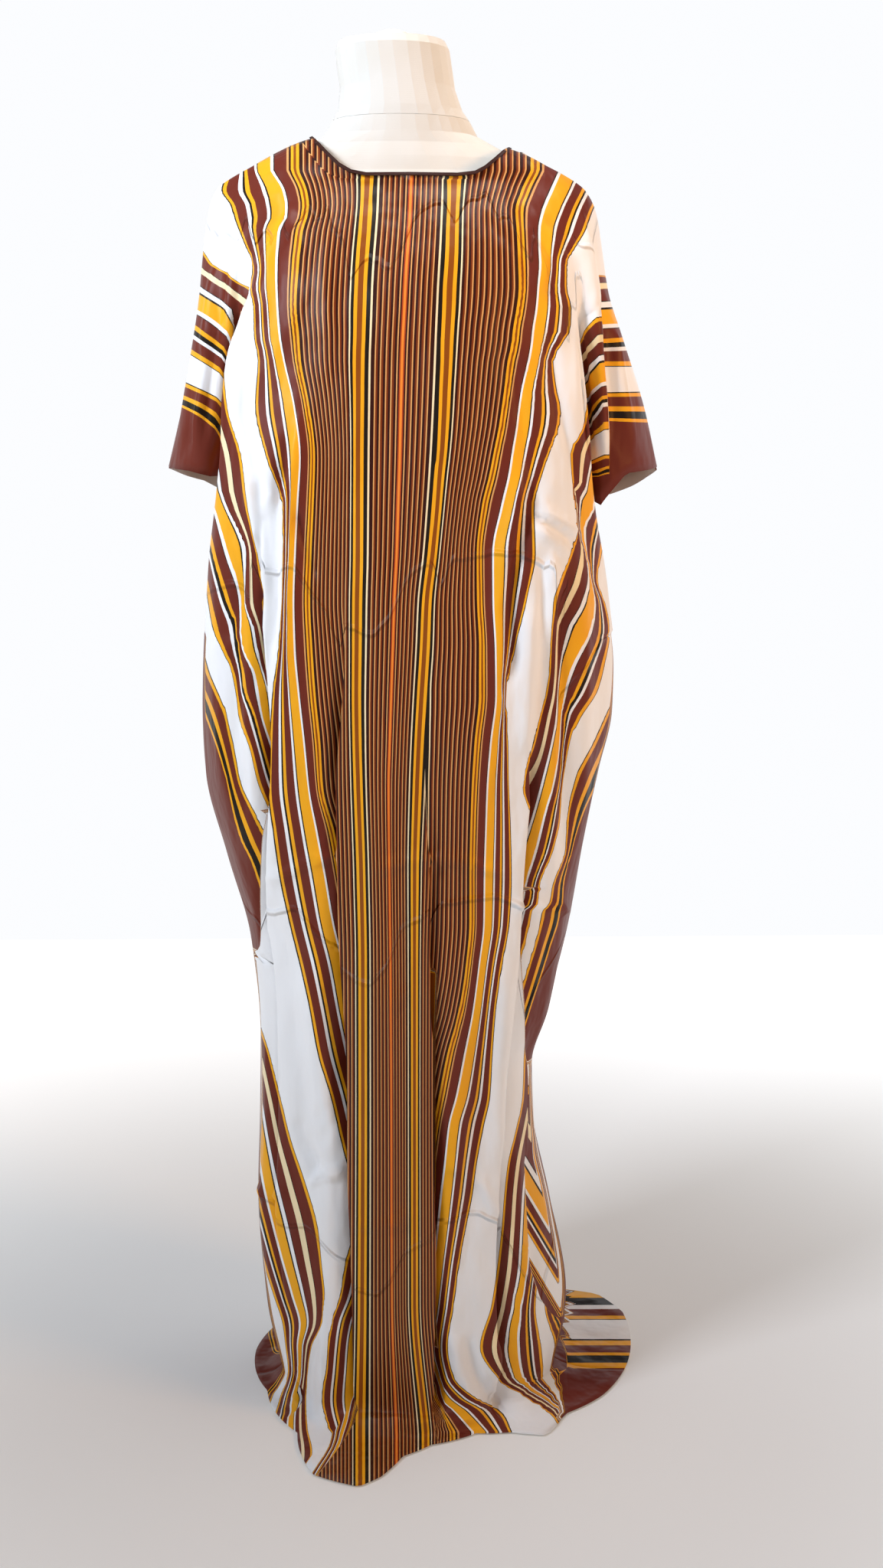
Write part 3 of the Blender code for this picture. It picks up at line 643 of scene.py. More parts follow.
def sleeve_points(panel, side, row, lip, bottom):
    """From the valley's bottom out to the sleeve's face and round to its top edge."""
    tip = ridge_at(side, row.outer)
    follow = float(eased(float(read(VALLEY, lip[2], "share")) / VALLEY_WHOLE))
    out = float(read(VALLEY, lip[2], "face"))
    face = np.array([lip[0] + SIDES[side] * VALLEY_WIDTH, PANELS[panel] * out, lip[2]])
    corner = bottom + np.array([SIDES[side] * VALLEY_WIDTH, 0.0, 0.0])
    corner[1] = PANELS[panel] * max(CORNER_LEAST, abs(bottom[1]))
    points = []
    for step in range(1, SLEEVE_STEPS):
        plain = plain_point(panel, side, row, lip, WALL_STEPS + step)
        folded = corner + (face - corner) * 0.5 * (step - 1)
        if step > 3:
            turn = math.pi / 2 * (step - 3) / (SLEEVE_STEPS - 3)
            folded[0] = face[0] + (tip - face[0]) * math.sin(turn) ** SLEEVE_ROUND
            folded[1] = face[1] * math.cos(turn) ** SLEEVE_ROUND
        folded[2] = place(panel, side, row, folded[0])[2]
        points.append(plain + (folded - plain) * follow)
    return points + [np.array([tip, PANELS[panel] * SEAM_GAP / 2, row.outer])]


# How many columns lie between two of a row's points: more where the cloth runs far or turns tightly.
FOLD_COLUMNS = [4, 3, 4, 3, 4, 5]
COLUMN_STEPS = [7, 5] + FOLD_COLUMNS + [3, 12] + FOLD_COLUMNS + [3, 5, 4]
COLUMN_STEPS += [4, 4, 5]  # from the lip to the valley's bottom or the side seam
COLUMN_STEPS += [3, 3, 4, 5, 5, 6, 5]  # on the sleeve
BODY_POINTS = 20
BODY_COLUMNS = sum(COLUMN_STEPS[:BODY_POINTS - 1])
SKIRT_COLUMNS = BODY_COLUMNS + sum(COLUMN_STEPS[BODY_POINTS - 1:BODY_POINTS - 1 + WALL_STEPS])
# The columns where the two folds' hidden cloth starts and ends, and the sleeve's face and outer crease.
FOLD_IN, FOLD_OUT = sum(COLUMN_STEPS[:4]), sum(COLUMN_STEPS[:7])
LAST_FOLD_IN, LAST_FOLD_OUT = sum(COLUMN_STEPS[:12]), sum(COLUMN_STEPS[:15])
FACE = sum(COLUMN_STEPS[:BODY_POINTS - 1 + WALL_STEPS + 3])
CREASE = FACE + 5


def fine(points, before=None):
    """A row's columns on a soft curve (a cubic B-spline) along its points, ending on the last of them."""
    points = np.asarray(points)
    before = 2 * points[0] - points[1] if before is None else before
    padded = np.concatenate([[before], points, [2 * points[-1] - points[-2]]])
    found = []
    for index, steps in enumerate(COLUMN_STEPS[:len(points) - 1]):
        for step in range(steps):
            t = step / steps
            near = [3 * t ** 3 - 6 * t * t + 4, -3 * t ** 3 + 3 * t * t + 3 * t + 1]
            weights = np.array([(1 - t) ** 3] + near + [t ** 3])
            found.append(weights @ padded[index:index + 4] / 6)
    return np.array(found + [points[-1]])


def panel_grid(panel):
    """Both halves of a panel as rows of columns. A sleeve's rows are longer than a skirt's."""
    coarse = {}
    for side in SIDES:
        coarse[side] = []
        for row in rows_of(panel, side):
            points = body_points(panel, side, row)
            points += wall_points(panel, side, row, points[-1])
            if row.part not in ("skirt", "below"):
                points += sleeve_points(panel, side, row, points[BODY_POINTS - 1], points[-1])
            coarse[side].append((row, points))
    halves = {}
    for side, other in zip(SIDES, reversed(SIDES)):
        halves[side] = []
        for (row, points), (_, mirrored) in zip(coarse[side], coarse[other]):
            joined = row.part != "neck"
            if joined:
                middle = (points[0] + mirrored[0]) / 2
                middle = (points[1] + 4 * middle + mirrored[1]) / 6
            columns = fine(points, mirrored[1] if joined else None)
            if joined:
                columns[0] = middle
            halves[side].append(columns)
    return halves


grids = {panel: panel_grid(panel) for panel in PANELS}


def lay_hem(panel, side, rows):
    """The rows of the hem, which turn out from the lowest row of the skirt and lie on the floor."""
    start = rows[-1]
    laid = []
    turns = np.degrees(np.arctan2(start[:, 0], -start[:, 1]))
    far = np.interp(turns, [hem.turn for hem in HEM], [hem.reach for hem in HEM])
    length = np.linalg.norm(start[:, :2], axis=1)
    reach = np.maximum(far, length + HEM_LEAST)
    for step in range(1, HEM_STEPS + 1):
        share = step / HEM_STEPS
        out = (1 + (reach / length - 1) * share ** 1.4)[:, None]
        height = HEM_HEIGHT + (SKIRT_LOW - HEM_HEIGHT) * (1 - share) ** 2.2
        laid.append(np.concatenate([start[:, :2] * out, np.full((len(start), 1), height)], axis=1))
        laid[-1][-1, 1] = PANELS[panel] * SEAM_GAP / 2
    return rows + laid


def lay_shoulder_seam(panel, side, top):
    """Lays a panel's first row along the ridge, where it is sewn to the other panel."""
    widths = [getattr(width, side) for width in RIDGE]
    on_ridge = np.interp(top[:, 0] * SIDES[side], widths, [width.height for width in RIDGE])
    top[:, 1] = PANELS[panel] * SEAM_GAP / 2
    top[:, 2] = np.maximum(top[:, 2], on_ridge)


for panel, halves in grids.items():
    for side, rows in halves.items():
        halves[side] = lay_hem(panel, side, rows)
        lay_shoulder_seam(panel, side, rows[0])


def in_photo(points):
    """Where points in centimetres are seen in the photograph, in its pixels."""
    turn = np.array(camera.rotation_euler.to_matrix())
    seen = (np.asarray(points) * CM - np.array(CAMERA_AT)) @ turn
    across = PHOTO_WIDTH / 2 - PHOTO_FOCUS * seen[..., 0] / seen[..., 2]
    down = PHOTO_HEIGHT / 2 + PHOTO_FOCUS * seen[..., 1] / seen[..., 2]
    return across, down


# How far each cuff's edge hangs below its level at the sleeve's face, its middle and its top edge.
Cuff = namedtuple("Cuff", "panel side face middle edge")
CUFFS = [
    Cuff("front", "left", 0.6, 0.2, 0.0),
    Cuff("back", "left", 2.4, 1.4, 0.2),
    Cuff("front", "right", 3.6, 0.4, 0.0),
    Cuff("back", "right", 3.2, 2.9, 0.4),
]
CUFF_ROWS = 9
for cuff in CUFFS:
    sleeves = [columns for columns in grids[cuff.panel][cuff.side] if len(columns) > SKIRT_COLUMNS + 1]
    for step, columns in enumerate(sleeves[-CUFF_ROWS:], 1):
        drops = np.interp(np.arange(len(columns)), [SKIRT_COLUMNS, FACE, CREASE, len(columns) - 1],
                          [0.0, cuff.face, cuff.middle, cuff.edge])
        columns[:, 2] -= drops * (step / CUFF_ROWS) ** 2


def respace(columns, first, column, last, lengths, tail, far, gap):
    """Spaces a stretch of a row evenly on both sides of one column, which lies `far` along it."""
    spaced = np.concatenate([np.linspace(0, far, column - first + 1),
                             np.linspace(far + gap, lengths[-1], last - column)])
    laid = [np.interp(spaced, lengths, tail[:, axis]) for axis in range(3)]
    columns[first:last + 1] = np.stack(laid, axis=-1)


BEFORE_COLUMN, AFTER_COLUMN, COLUMN_STEP = 0.25, 0.5, 0.1  # centimetres kept free around a laid column


def lay_column(columns, first, column, last, goal):
    """Respaces a row between two columns so that one between them is seen at a place across the picture."""
    tail = columns[first:last + 1].copy()
    across, _ = in_photo(tail)
    if across[-1] < across[0]:
        across, goal = -across, -goal
    lengths = along(tail)
    far = np.interp(goal, np.maximum.accumulate(across), lengths)
    far = float(np.clip(far, BEFORE_COLUMN, lengths[-1] - AFTER_COLUMN))
    respace(columns, first, column, last, lengths, tail, far, COLUMN_STEP)


# The right sleeve's sharp crease, in the photograph's pixels: one column of each row is laid along it.
SHARP_CREASE = {276: 755, 307: 764, 355: 772, 388: 776, 433: 781, 467: 783, 515: 788, 615: 789}
for columns in grids["front"]["right"]:
    if len(columns) > SKIRT_COLUMNS + 1:
        tail = columns[FACE:].copy()
        across, down = in_photo(tail)
        lengths = along(tail)
        goal = np.interp(down[0], list(SHARP_CREASE), list(SHARP_CREASE.values()))
        far = np.clip(np.interp(goal, across, lengths) / lengths[-1], 0.12, 0.8) * lengths[-1]
        respace(columns, FACE, CREASE, len(columns) - 1, lengths, tail, far, 0.12)

# The side flaps' inner edges: where each is seen across the picture at heights in it. One column of each
# row is laid along them too, between the last fold and the silhouette. FLAP_TIPS are where the flaps end.
FLAP_EDGES = {
    "left": {1060: 350, 1100: 343, 1233: 338, 1256: 334},
    "right": {
        1160: 672, 1168: 673, 1202: 676, 1263: 680, 1317: 684, 1380: 687, 1480: 690, 1560: 692, 1643: 695,
        1700: 703, 1725: 715, 1745: 726, 1761: 736, 1800: 738, 1900: 742,
    },
}
FLAP_TIPS = {"left": 1250, "right": 1384}
FLAP = {"left": LAST_FOLD_OUT + 3, "right": LAST_FOLD_OUT + 5}
for side, edges in FLAP_EDGES.items():
    column = FLAP[side]
    for columns in grids["front"][side]:
        across, down = in_photo(columns)
        last = LAST_FOLD_OUT + int(np.argmax(across[LAST_FOLD_OUT:] * SIDES[side]))
        if min(edges) <= down[column] <= max(edges) and last > column + 2:
            goal = curve(list(edges), list(edges.values()), down[column:column + 1])[0]
            lay_column(columns, LAST_FOLD_OUT, column, last, goal)

# Creases and soft undulations, as paths in the photograph's pixels: how far the cloth stands out there
# in centimetres, less than nothing for a valley, and its widths in pixels to the left and right of a path
# that runs down, or below and above one that runs to the right.
Crease = namedtuple("Crease", "lift left right path")
FRONT_CREASES = [
    # The drag lines from the armpits.
    Crease(-0.68, 16, 5, [
        (377, 250), (371, 268), (357, 302), (338, 323),
        (332, 348), (326, 374), (318, 410),
    ]),
    Crease(0.52, 9, 12, [(384, 262), (372, 300), (352, 330), (345, 380), (338, 430)]),
    Crease(-0.45, 5, 12, [
        (664, 262), (674, 276), (688, 290), (702, 304),
        (709, 315), (724, 341), (720, 377), (713, 414),
    ]),
    Crease(0.45, 14, 8, [
        (676, 262), (700, 286), (716, 305), (733, 335),
        (734, 370), (727, 414), (735, 470),
    ]),
    Crease(-0.33, 5, 7, [
        (627, 268), (639, 291), (650, 306), (669, 314),
        (679, 329), (688, 350), (690, 390),
    ]),
    Crease(-0.3, 5, 8, [
        (713, 414), (717, 444), (722, 472), (726, 501),
        (733, 543), (744, 590), (753, 652),
    ]),
    Crease(-0.3, 8, 5, [
        (671, 455), (675, 488), (678, 516), (681, 543),
        (687, 571), (689, 620), (687, 657),
    ]),
    Crease(-0.24, 7, 7, [(625, 446), (629, 488), (633, 515), (628, 560)]),
    Crease(-0.3, 8, 8, [(388, 262), (398, 292), (404, 330), (398, 360)]),
    Crease(0.33, 12, 12, [(420, 235), (428, 300), (426, 400), (420, 520)]),
    # The left pleat, and the soft folds of the white cloth beside it.
    Crease(0.75, 4, 16, [
        (396, 520), (388, 560), (382, 600), (374, 640),
        (371, 700), (371, 785), (366, 850), (357, 920),
    ]),
    Crease(-0.75, 12, 4, [
        (380, 560), (374, 600), (366, 650), (363, 720),
        (362, 790), (356, 850), (350, 900),
    ]),
    Crease(-0.68, 6, 6, [(386, 660), (396, 700), (405, 730), (415, 762)]),
    Crease(0.45, 10, 8, [(324, 600), (330, 660), (338, 720), (346, 780)]),
    Crease(-0.45, 8, 8, [(312, 470), (318, 540), (330, 600), (338, 640), (346, 700), (352, 760)]),
    Crease(0.38, 6, 6, [(330, 672), (340, 668), (350, 655), (362, 650)]),
    # The right pleat and the white cloth beside it.
    Crease(0.68, 14, 4, [
        (690, 590), (682, 640), (668, 700), (660, 740),
        (655, 800), (656, 850), (656, 905),
    ]),
    Crease(-0.68, 4, 12, [
        (698, 600), (692, 650), (680, 700), (670, 745),
        (664, 800), (665, 850), (663, 910),
    ]),
    Crease(0.45, 6, 6, [(692, 680), (708, 694), (726, 706), (744, 722)]),
    Crease(-0.54, 6, 6, [(694, 670), (712, 682), (730, 694), (752, 712)]),
    Crease(0.59, 6, 6, [(700, 664), (720, 676), (740, 686), (760, 700)]),
    Crease(-0.6, 8, 10, [(704, 700), (708, 760), (712, 830), (712, 900), (706, 960)]),
    Crease(0.45, 8, 8, [(722, 720), (722, 780), (712, 850)]),
    Crease(0.52, 8, 10, [(690, 780), (690, 860), (688, 930), (680, 1000)]),
    # The side folds under the arms.
    Crease(-0.75, 7, 10, [
        (742, 740), (734, 804), (737, 888), (737, 984),
        (734, 1041), (737, 1098), (730, 1160),
    ]),
    Crease(0.52, 10, 10, [(766, 700), (760, 800), (764, 900), (762, 1000), (752, 1100)]),
    Crease(-0.6, 9, 9, [(318, 700), (312, 790), (310, 870), (308, 960), (316, 1040), (322, 1110)]),
    Crease(0.52, 10, 10, [(292, 640), (286, 740), (284, 860), (290, 980), (304, 1080)]),
    # The fold of the middle.
    Crease(-0.32, 6, 6, [(496, 930), (503, 942), (512, 946), (540, 950)]),
    Crease(0.45, 22, 16, [(490, 1000), (492, 1150), (492, 1350), (492, 1550), (494, 1700)]),
    Crease(-0.45, 16, 12, [(530, 960), (528, 1100), (524, 1300), (526, 1500), (532, 1700)]),
    # The edges that the cloth was folded along in its packet.
    Crease(0.54, 6, 6, [(340, 1149), (372, 1142), (389, 1133), (405, 1127), (420, 1119), (458, 1117)]),
    Crease(0.54, 6, 6, [
        (470, 1136), (508, 1133), (531, 1125), (577, 1121),
        (604, 1127), (634, 1135), (674, 1146),
    ]),
    Crease(0.59, 6, 6, [(670, 1183), (700, 1185), (725, 1187), (752, 1190)]),
    Crease(0.68, 6, 6, [(400, 1550), (410, 1541), (420, 1536), (450, 1527)]),
    Crease(-0.54, 6, 6, [(386, 1455), (390, 1480), (396, 1500), (410, 1520), (404, 1546)]),
    Crease(-0.49, 6, 6, [(424, 1440), (416, 1462), (428, 1470), (420, 1500)]),
    Crease(0.45, 6, 6, [
        (572, 1532), (593, 1524), (603, 1530), (618, 1541),
        (630, 1548), (644, 1572), (656, 1597),
    ]),
    Crease(0.54, 6, 6, [(656, 1600), (668, 1620), (679, 1629), (696, 1632)]),
    Crease(0.59, 6, 6, [(332, 1545), (345, 1558), (379, 1560)]),
    Crease(0.4, 6, 6, [(505, 1316), (520, 1306), (536, 1291)]),
    Crease(0.49, 6, 6, [(458, 1594), (472, 1600), (520, 1598), (538, 1577)]),
    Crease(0.32, 6, 6, [(300, 712), (330, 700), (345, 690)]),
    # The bright folds of the lower white cloth.
    Crease(0.6, 14, 14, [(400, 1240), (412, 1330), (424, 1430), (436, 1520)]),
    Crease(-0.52, 12, 12, [(378, 1300), (392, 1400), (404, 1500), (420, 1580)]),
    Crease(0.52, 12, 12, [(662, 1240), (655, 1340), (650, 1440), (646, 1540)]),
    Crease(-0.52, 12, 12, [(640, 1300), (630, 1400), (620, 1500), (612, 1600), (606, 1700)]),
    Crease(-0.75, 8, 10, [(694, 1480), (693, 1562), (697, 1630), (702, 1694)]),
    # The hem, which rides up over itself in front and puckers to both sides.
    Crease(1.35, 4, 20, [(452, 1842), (478, 1860), (498, 1865), (560, 1866), (600, 1865), (640, 1856)]),
    Crease(-0.45, 10, 4, [(470, 1868), (500, 1876), (560, 1877), (600, 1874)]),
    Crease(0.75, 9, 9, [(428, 1720), (424, 1790), (424, 1850), (436, 1915)]),
    Crease(-0.6, 8, 8, [(412, 1740), (404, 1790), (402, 1850), (416, 1910)]),
    Crease(0.75, 8, 8, [(392, 1730), (384, 1790), (382, 1830), (396, 1880)]),
    Crease(0.75, 9, 9, [(590, 1730), (600, 1790), (618, 1830), (640, 1862)]),
    Crease(-0.6, 8, 8, [(608, 1740), (622, 1800), (650, 1838), (676, 1864)]),
    Crease(0.75, 9, 9, [(640, 1740), (652, 1790), (680, 1830), (700, 1858)]),
    Crease(-0.6, 7, 8, [(690, 1740), (700, 1790), (720, 1830), (728, 1850)]),
    Crease(0.75, 10, 8, [(740, 1700), (742, 1760), (748, 1810), (752, 1838)]),
    # The sleeves.
    Crease(0.45, 6, 7, [(312, 290), (302, 360), (296, 440), (288, 520), (276, 600)]),
    Crease(-0.45, 6, 6, [(298, 300), (288, 380), (281, 450), (272, 530), (262, 600)]),
    Crease(0.68, 6, 6, [(284, 330), (272, 420), (262, 500), (250, 590)]),
    Crease(-0.54, 6, 6, [(266, 440), (256, 520), (242, 600)]),
    Crease(0.83, 14, 4, [
        (755, 262), (764, 307), (772, 355), (776, 388),
        (781, 433), (783, 467), (788, 515), (789, 610),
    ]),
    Crease(-0.45, 4, 8, [
        (764, 280), (772, 320), (781, 365), (788, 420),
        (792, 470), (797, 530), (802, 600),
    ]),
    Crease(0.68, 6, 6, [(800, 420), (808, 480), (818, 540), (826, 600)]),
    Crease(-0.54, 6, 6, [(758, 420), (764, 480), (768, 540), (774, 610)]),
]
# The back's creases, as they would be seen through the front: the same kinds, at about the same places.
BACK_CREASES = [
    Crease(-0.6, 14, 6, [(380, 250), (368, 290), (346, 330), (334, 380), (326, 440)]),
    Crease(0.52, 10, 12, [(392, 262), (378, 310), (358, 350), (350, 420)]),
    Crease(-0.52, 6, 14, [(668, 258), (690, 296), (716, 330), (722, 380), (716, 440)]),
    Crease(0.45, 14, 9, [(650, 270), (676, 306), (700, 340), (706, 410)]),
    Crease(0.45, 20, 20, [(470, 240), (476, 340), (470, 480), (462, 640), (456, 800)]),
    Crease(-0.45, 16, 16, [(510, 330), (514, 480), (508, 640), (502, 820)]),
    Crease(0.45, 20, 18, [(600, 240), (594, 360), (600, 520), (606, 700), (604, 860)]),
    Crease(-0.45, 14, 14, [(560, 420), (556, 560), (560, 720), (562, 900)]),
    Crease(-0.6, 10, 10, [(384, 480), (380, 600), (372, 740), (364, 860)]),
    Crease(-0.6, 10, 10, [(668, 500), (676, 640), (676, 780), (684, 900)]),
    Crease(0.52, 12, 12, [(330, 560), (330, 700), (324, 860), (330, 1000)]),
    Crease(0.52, 12, 12, [(716, 560), (722, 700), (728, 860), (722, 1000)]),
    Crease(0.54, 6, 6, [(340, 1140), (400, 1131), (470, 1126), (560, 1129), (640, 1136), (690, 1148)]),
    Crease(0.54, 6, 6, [(350, 1548), (420, 1540), (500, 1546), (580, 1538), (650, 1552)]),
    Crease(0.43, 6, 6, [(330, 700), (400, 694), (480, 699), (600, 692), (700, 704)]),
    Crease(0.6, 14, 14, [(420, 1240), (426, 1380), (432, 1540), (430, 1690)]),
    Crease(-0.52, 12, 12, [(396, 1280), (400, 1420), (404, 1560), (400, 1700)]),
    Crease(0.6, 14, 14, [(616, 1250), (612, 1400), (606, 1560), (612, 1700)]),
    Crease(-0.52, 12, 12, [(644, 1300), (640, 1440), (634, 1600), (640, 1740)]),
    Crease(0.75, 9, 9, [(440, 1740), (436, 1800), (430, 1860)]),
    Crease(-0.6, 8, 8, [(470, 1750), (470, 1810), (464, 1870)]),
    Crease(0.75, 9, 9, [(560, 1740), (566, 1800), (576, 1860)]),
    Crease(-0.6, 8, 8, [(600, 1740), (610, 1800), (626, 1850)]),
    Crease(0.45, 6, 7, [(312, 290), (302, 360), (296, 440), (288, 520), (276, 600)]),
    Crease(-0.45, 6, 6, [(296, 310), (286, 390), (276, 470), (262, 600)]),
    Crease(0.6, 9, 7, [(762, 280), (774, 360), (784, 440), (792, 520), (800, 600)]),
    Crease(-0.45, 6, 7, [(780, 300), (792, 380), (804, 460), (818, 560), (822, 600)]),
]
# Soft waves all over: how far they stand out, their length around and up, and where they start.
Wave = namedtuple("Wave", "lift across down start")
WAVES = [
    Wave(0.11, 8.7, 64.0, 0.4),
    Wave(0.09, 12.9, -47.0, 2.1),
    Wave(0.05, 5.3, 31.0, 4.4),
    Wave(0.07, 19.0, 23.0, 1.3),
]
CREASE_ENDS = 0.2  # the share of a crease's length in which it fades out at either end
FORM_RADIUS = 17.0  # the waves run around the dress as if it were a cylinder of this radius
TAUT, TAUT_ABOVE, TAUT_BLEND = 0.25, 128, 20  # the share of the waves that is left on the taut shoulders
FACING, TURNED_AWAY = 2.5, 0.1  # creases fade where the cloth turns away from the front or the back
SEAM_CALM, HEM_CALM = 2.0, 0.8  # how far from the seams and above the hem the cloth starts to move


def creased(table, across, down):
    """How far the creases of a table lift the cloth at places in the photograph."""
    places = np.stack([across, down], axis=-1)
    lifted = np.zeros(len(places))
    for crease in table:
        path = np.array(crease.path, float)
        steps = np.diff(path, axis=0)
        lengths = np.linalg.norm(steps, axis=1)
        nearest = np.full(len(places), np.inf)
        side = np.zeros(len(places))
        reached = np.zeros(len(places))
        for index, (start, step, length) in enumerate(zip(path, steps, lengths)):
            ahead = places - start
            share = np.clip(ahead @ step / length ** 2, 0.0, 1.0)
            distance = np.linalg.norm(ahead - share[:, None] * step, axis=1)
            nearer = distance < nearest
            nearest = np.where(nearer, distance, nearest)
            side = np.where(nearer, step[0] * ahead[:, 1] - step[1] * ahead[:, 0], side)
            reached = np.where(nearer, lengths[:index].sum() + share * length, reached)
        width = np.where(side > 0, crease.left, crease.right)
        ends = np.minimum(reached, lengths.sum() - reached) / lengths.sum()
        lifted += crease.lift * np.exp(-(nearest / width) ** 2) * eased(ends / CREASE_ENDS)
    return lifted


# Where threads of the front panel are seen in the photograph, measured in its pixels. A chart's row
# is a line across the picture: its height, and the places of the threads that lie so many centimetres from
# the middle thread. The first chart is for the middle strip, the next two for the cloth out to the side
# folds, and the last two for the cloth beyond those. The back panel reads the same charts, mirrored in depth.
MIDDLE_THREADS = (-12.55, -4.9, 0.0, 4.9, 12.55)
MIDDLE_CHART = [
    (223, 389, 480, 537.5, 593, 699),
    (249, 396, 479, 536.5, 592.5, 686),
    (275, 398, 478, 535.5, 591.5, 678),
    (302, 391, 476, 534, 590.5, 680),
    (337, 386, 473, 531.5, 589, 682),
    (370, 383, 471, 529.5, 587, 682.5),
    (403, 382, 470, 528, 585.5, 680),
    (440, 386, 469, 526, 584, 675),
    (468, 388, 468, 525, 583, 668),
    (530, 400, 467.5, 523.5, 580, 661),
    (597, 408, 467, 522, 576, 648),
    (660, 406, 467, 520, 571, 633),
    (723, 403, 467, 518, 565, 626),
    (785, 401, 466, 515, 557, 627),
    (847, 404, 465.5, 513, 554, 630),
    (908, 406, 465, 511, 550, 628),
    (969, 405, 466, 509, 546.5, 620),
    (1030, 403, 468, 507.5, 544, 614),
    (1145, 405, 472, 508.5, 541, 602),
    (1262, 410, 474, 510, 541, 592),
    (1432, 412, 474, 511, 541, 590),
    (1700, 412, 473, 512, 541, 592),
    (1870, 408, 470, 518, 556, 606),
]
SIDE_THREADS = (4.9, 12.55, 16.3, 22.25, 29.65, 35.2, 42.4)
LEFT_CHART = [
    (223, 480, 385, 343, 300, 255, 220, 175),
    (249, 479, 396, 360, 289, 240, 200, 150),
    (268, 478, 399, 364, 301, 240, 200, 150),
    (282, 477, 397, 364, 305, 245, 205, 150),
    (300, 476, 391, 354, 312, 252, 210, 150),
    (322, 474, 388, 352, 321, 262, 220, 165),
    (337, 473, 386, 351, 327, 272, 230, 175),
    (352, 472, 385, 351, 330, 280, 238, 180),
    (375, 471, 383, 352, 326, 290, 245, 190),
    (400, 470, 382, 354, 331, 292, 250, 195),
    (440, 469, 386, 357, 332, 291, 250, 195),
    (468, 468, 388, 363, 337, 292, 252, 200),
    (530, 467.5, 400, 377.5, 333, 297, 258, 205),
    (597, 467, 408, 385, 347, 316, 272, 215),
    (660, 467, 406, 381, 369, 323, 282, 225),
    (723, 467, 403, 378, 370, 335, 300, 250),
    (785, 467, 401, 376, 368, 338, 295, 250),
    (847, 472, 404, 377, 364, 290, 250, 200),
    (908, 480, 408, 383, 356, 285, 240, 190),
    (969, 487, 414, 390, 352, 278, 230, 180),
    (1030, 491, 418, 397, 350, 270, 225, 175),
    (1088, 505, 433, 406, 357, 282, 235, 185),
    (1145, 516, 443, 417, 365, 293, 245, 195),
    (1205, 527, 454, 427, 378, 304, 258, 205),
    (1262, 540, 466, 441, 392, 322, 275, 220),
    (1320, 550, 478, 451, 405, 335, 290, 240),
    (1376, 562, 490, 463, 415, 352, 322, 285),
    (1432, 575, 502, 475, 432, 366, 333, 292),
    (1488, 588, 515, 487, 445, 380, 341, 300),
    (1544, 598, 525, 497, 458, 399, 350, 308),
    (1600, 608, 535, 508, 462, 415, 363, 322),
    (1650, 600, 520, 495, 450, 422, 376, 336),
    (1693, 590, 505, 480, 443, 426, 388, 350),
    (1729, 580, 495, 465, 431, 421, 397, 362),
    (1759, 575, 490, 460, 427, 407, 392, 368),
    (1790, 570, 488, 458, 424, 402, 392, 372),
    (1828, 565, 487, 456, 420, 400, 384, 360),
    (1865, 562, 490, 462, 428, 402, 380, 350),
    (1895, 560, 500, 468, 449, 408, 380, 350),
    (1925, 560, 515, 474, 427, 404, 380, 350),
]
RIGHT_CHART = [
    (223, 593, 699, 745, 800, 860, 905, 960),
    (249, 592.5, 686, 734, 787, 850, 895, 950),
    (275, 591.5, 678, 722, 774, 835, 880, 935),
    (302, 590.5, 680, 714, 764, 825, 870, 925),
    (323, 590, 681, 714, 751, 818, 865, 920),
    (345, 589, 682, 715, 740, 815, 862, 918),
    (375, 587, 683, 711, 740, 805, 850, 910),
    (403, 586, 680, 709, 746, 795, 840, 900),
    (430, 584.5, 675, 705, 745, 788, 835, 895),
    (450, 583.5, 673, 703, 733, 782, 828, 888),
    (470, 583, 668, 700, 722, 775, 820, 880),
    (510, 581, 663, 689, 727, 768, 812, 870),
    (537, 580, 659, 685, 733, 764, 808, 865),
    (557, 579, 656, 683, 731, 761, 800, 855),
    (590, 577, 649, 678, 719, 744, 785, 840),
    (620, 574, 643, 674, 708, 746, 775, 830),
    (660, 571, 633, 665, 697, 750, 766, 822),
    (723, 565, 626, 651, 700, 745, 762, 815),
    (785, 557, 627, 651, 688, 720, 755, 800),
    (847, 554, 630, 654, 672, 718, 754, 786),
    (908, 550, 630, 655, 660, 712, 736, 790),
    (969, 550, 624, 648, 663, 695, 728, 765),
    (1030, 549, 620, 643, 665, 682, 717, 741),
    (1088, 549, 618, 641, 667, 702, 740, 790),
    (1145, 548, 617, 639, 668, 706, 745, 795),
    (1205, 546, 617, 638, 665, 712, 752, 800),
    (1262, 544, 612, 631, 655, 718, 758, 805),
    (1320, 535, 603, 624, 647, 690, 725, 770),
    (1376, 520, 588, 615, 643, 684, 712, 750),
    (1432, 505, 577, 604, 640, 682, 706, 740),
    (1470, 497, 570, 593, 632, 675, 700, 730),
    (1523, 490, 562, 588, 622, 662, 694, 722),
    (1560, 484, 556, 584, 617, 658, 690, 716),
    (1600, 480, 552, 580, 609, 655, 688, 712),
    (1653, 476, 548, 574, 599, 649, 686, 708),
    (1706, 474, 545, 568, 592, 641, 677, 705),
    (1760, 474, 545, 562, 584.5, 626, 670, 716),
    (1800, 500, 552, 568, 593, 650, 676, 720),
    (1826, 520, 562, 580, 621, 690, 712, 730),
    (1843, 530, 575, 600, 655, 716, 735, 750),
    (1870, 535, 590, 628, 668, 738, 755, 770),
]
LEFT_BEYOND_THREADS = (29.65, 33.8, 36.05, 38.4, 41.0, 44.05, 47.1, 53.5)
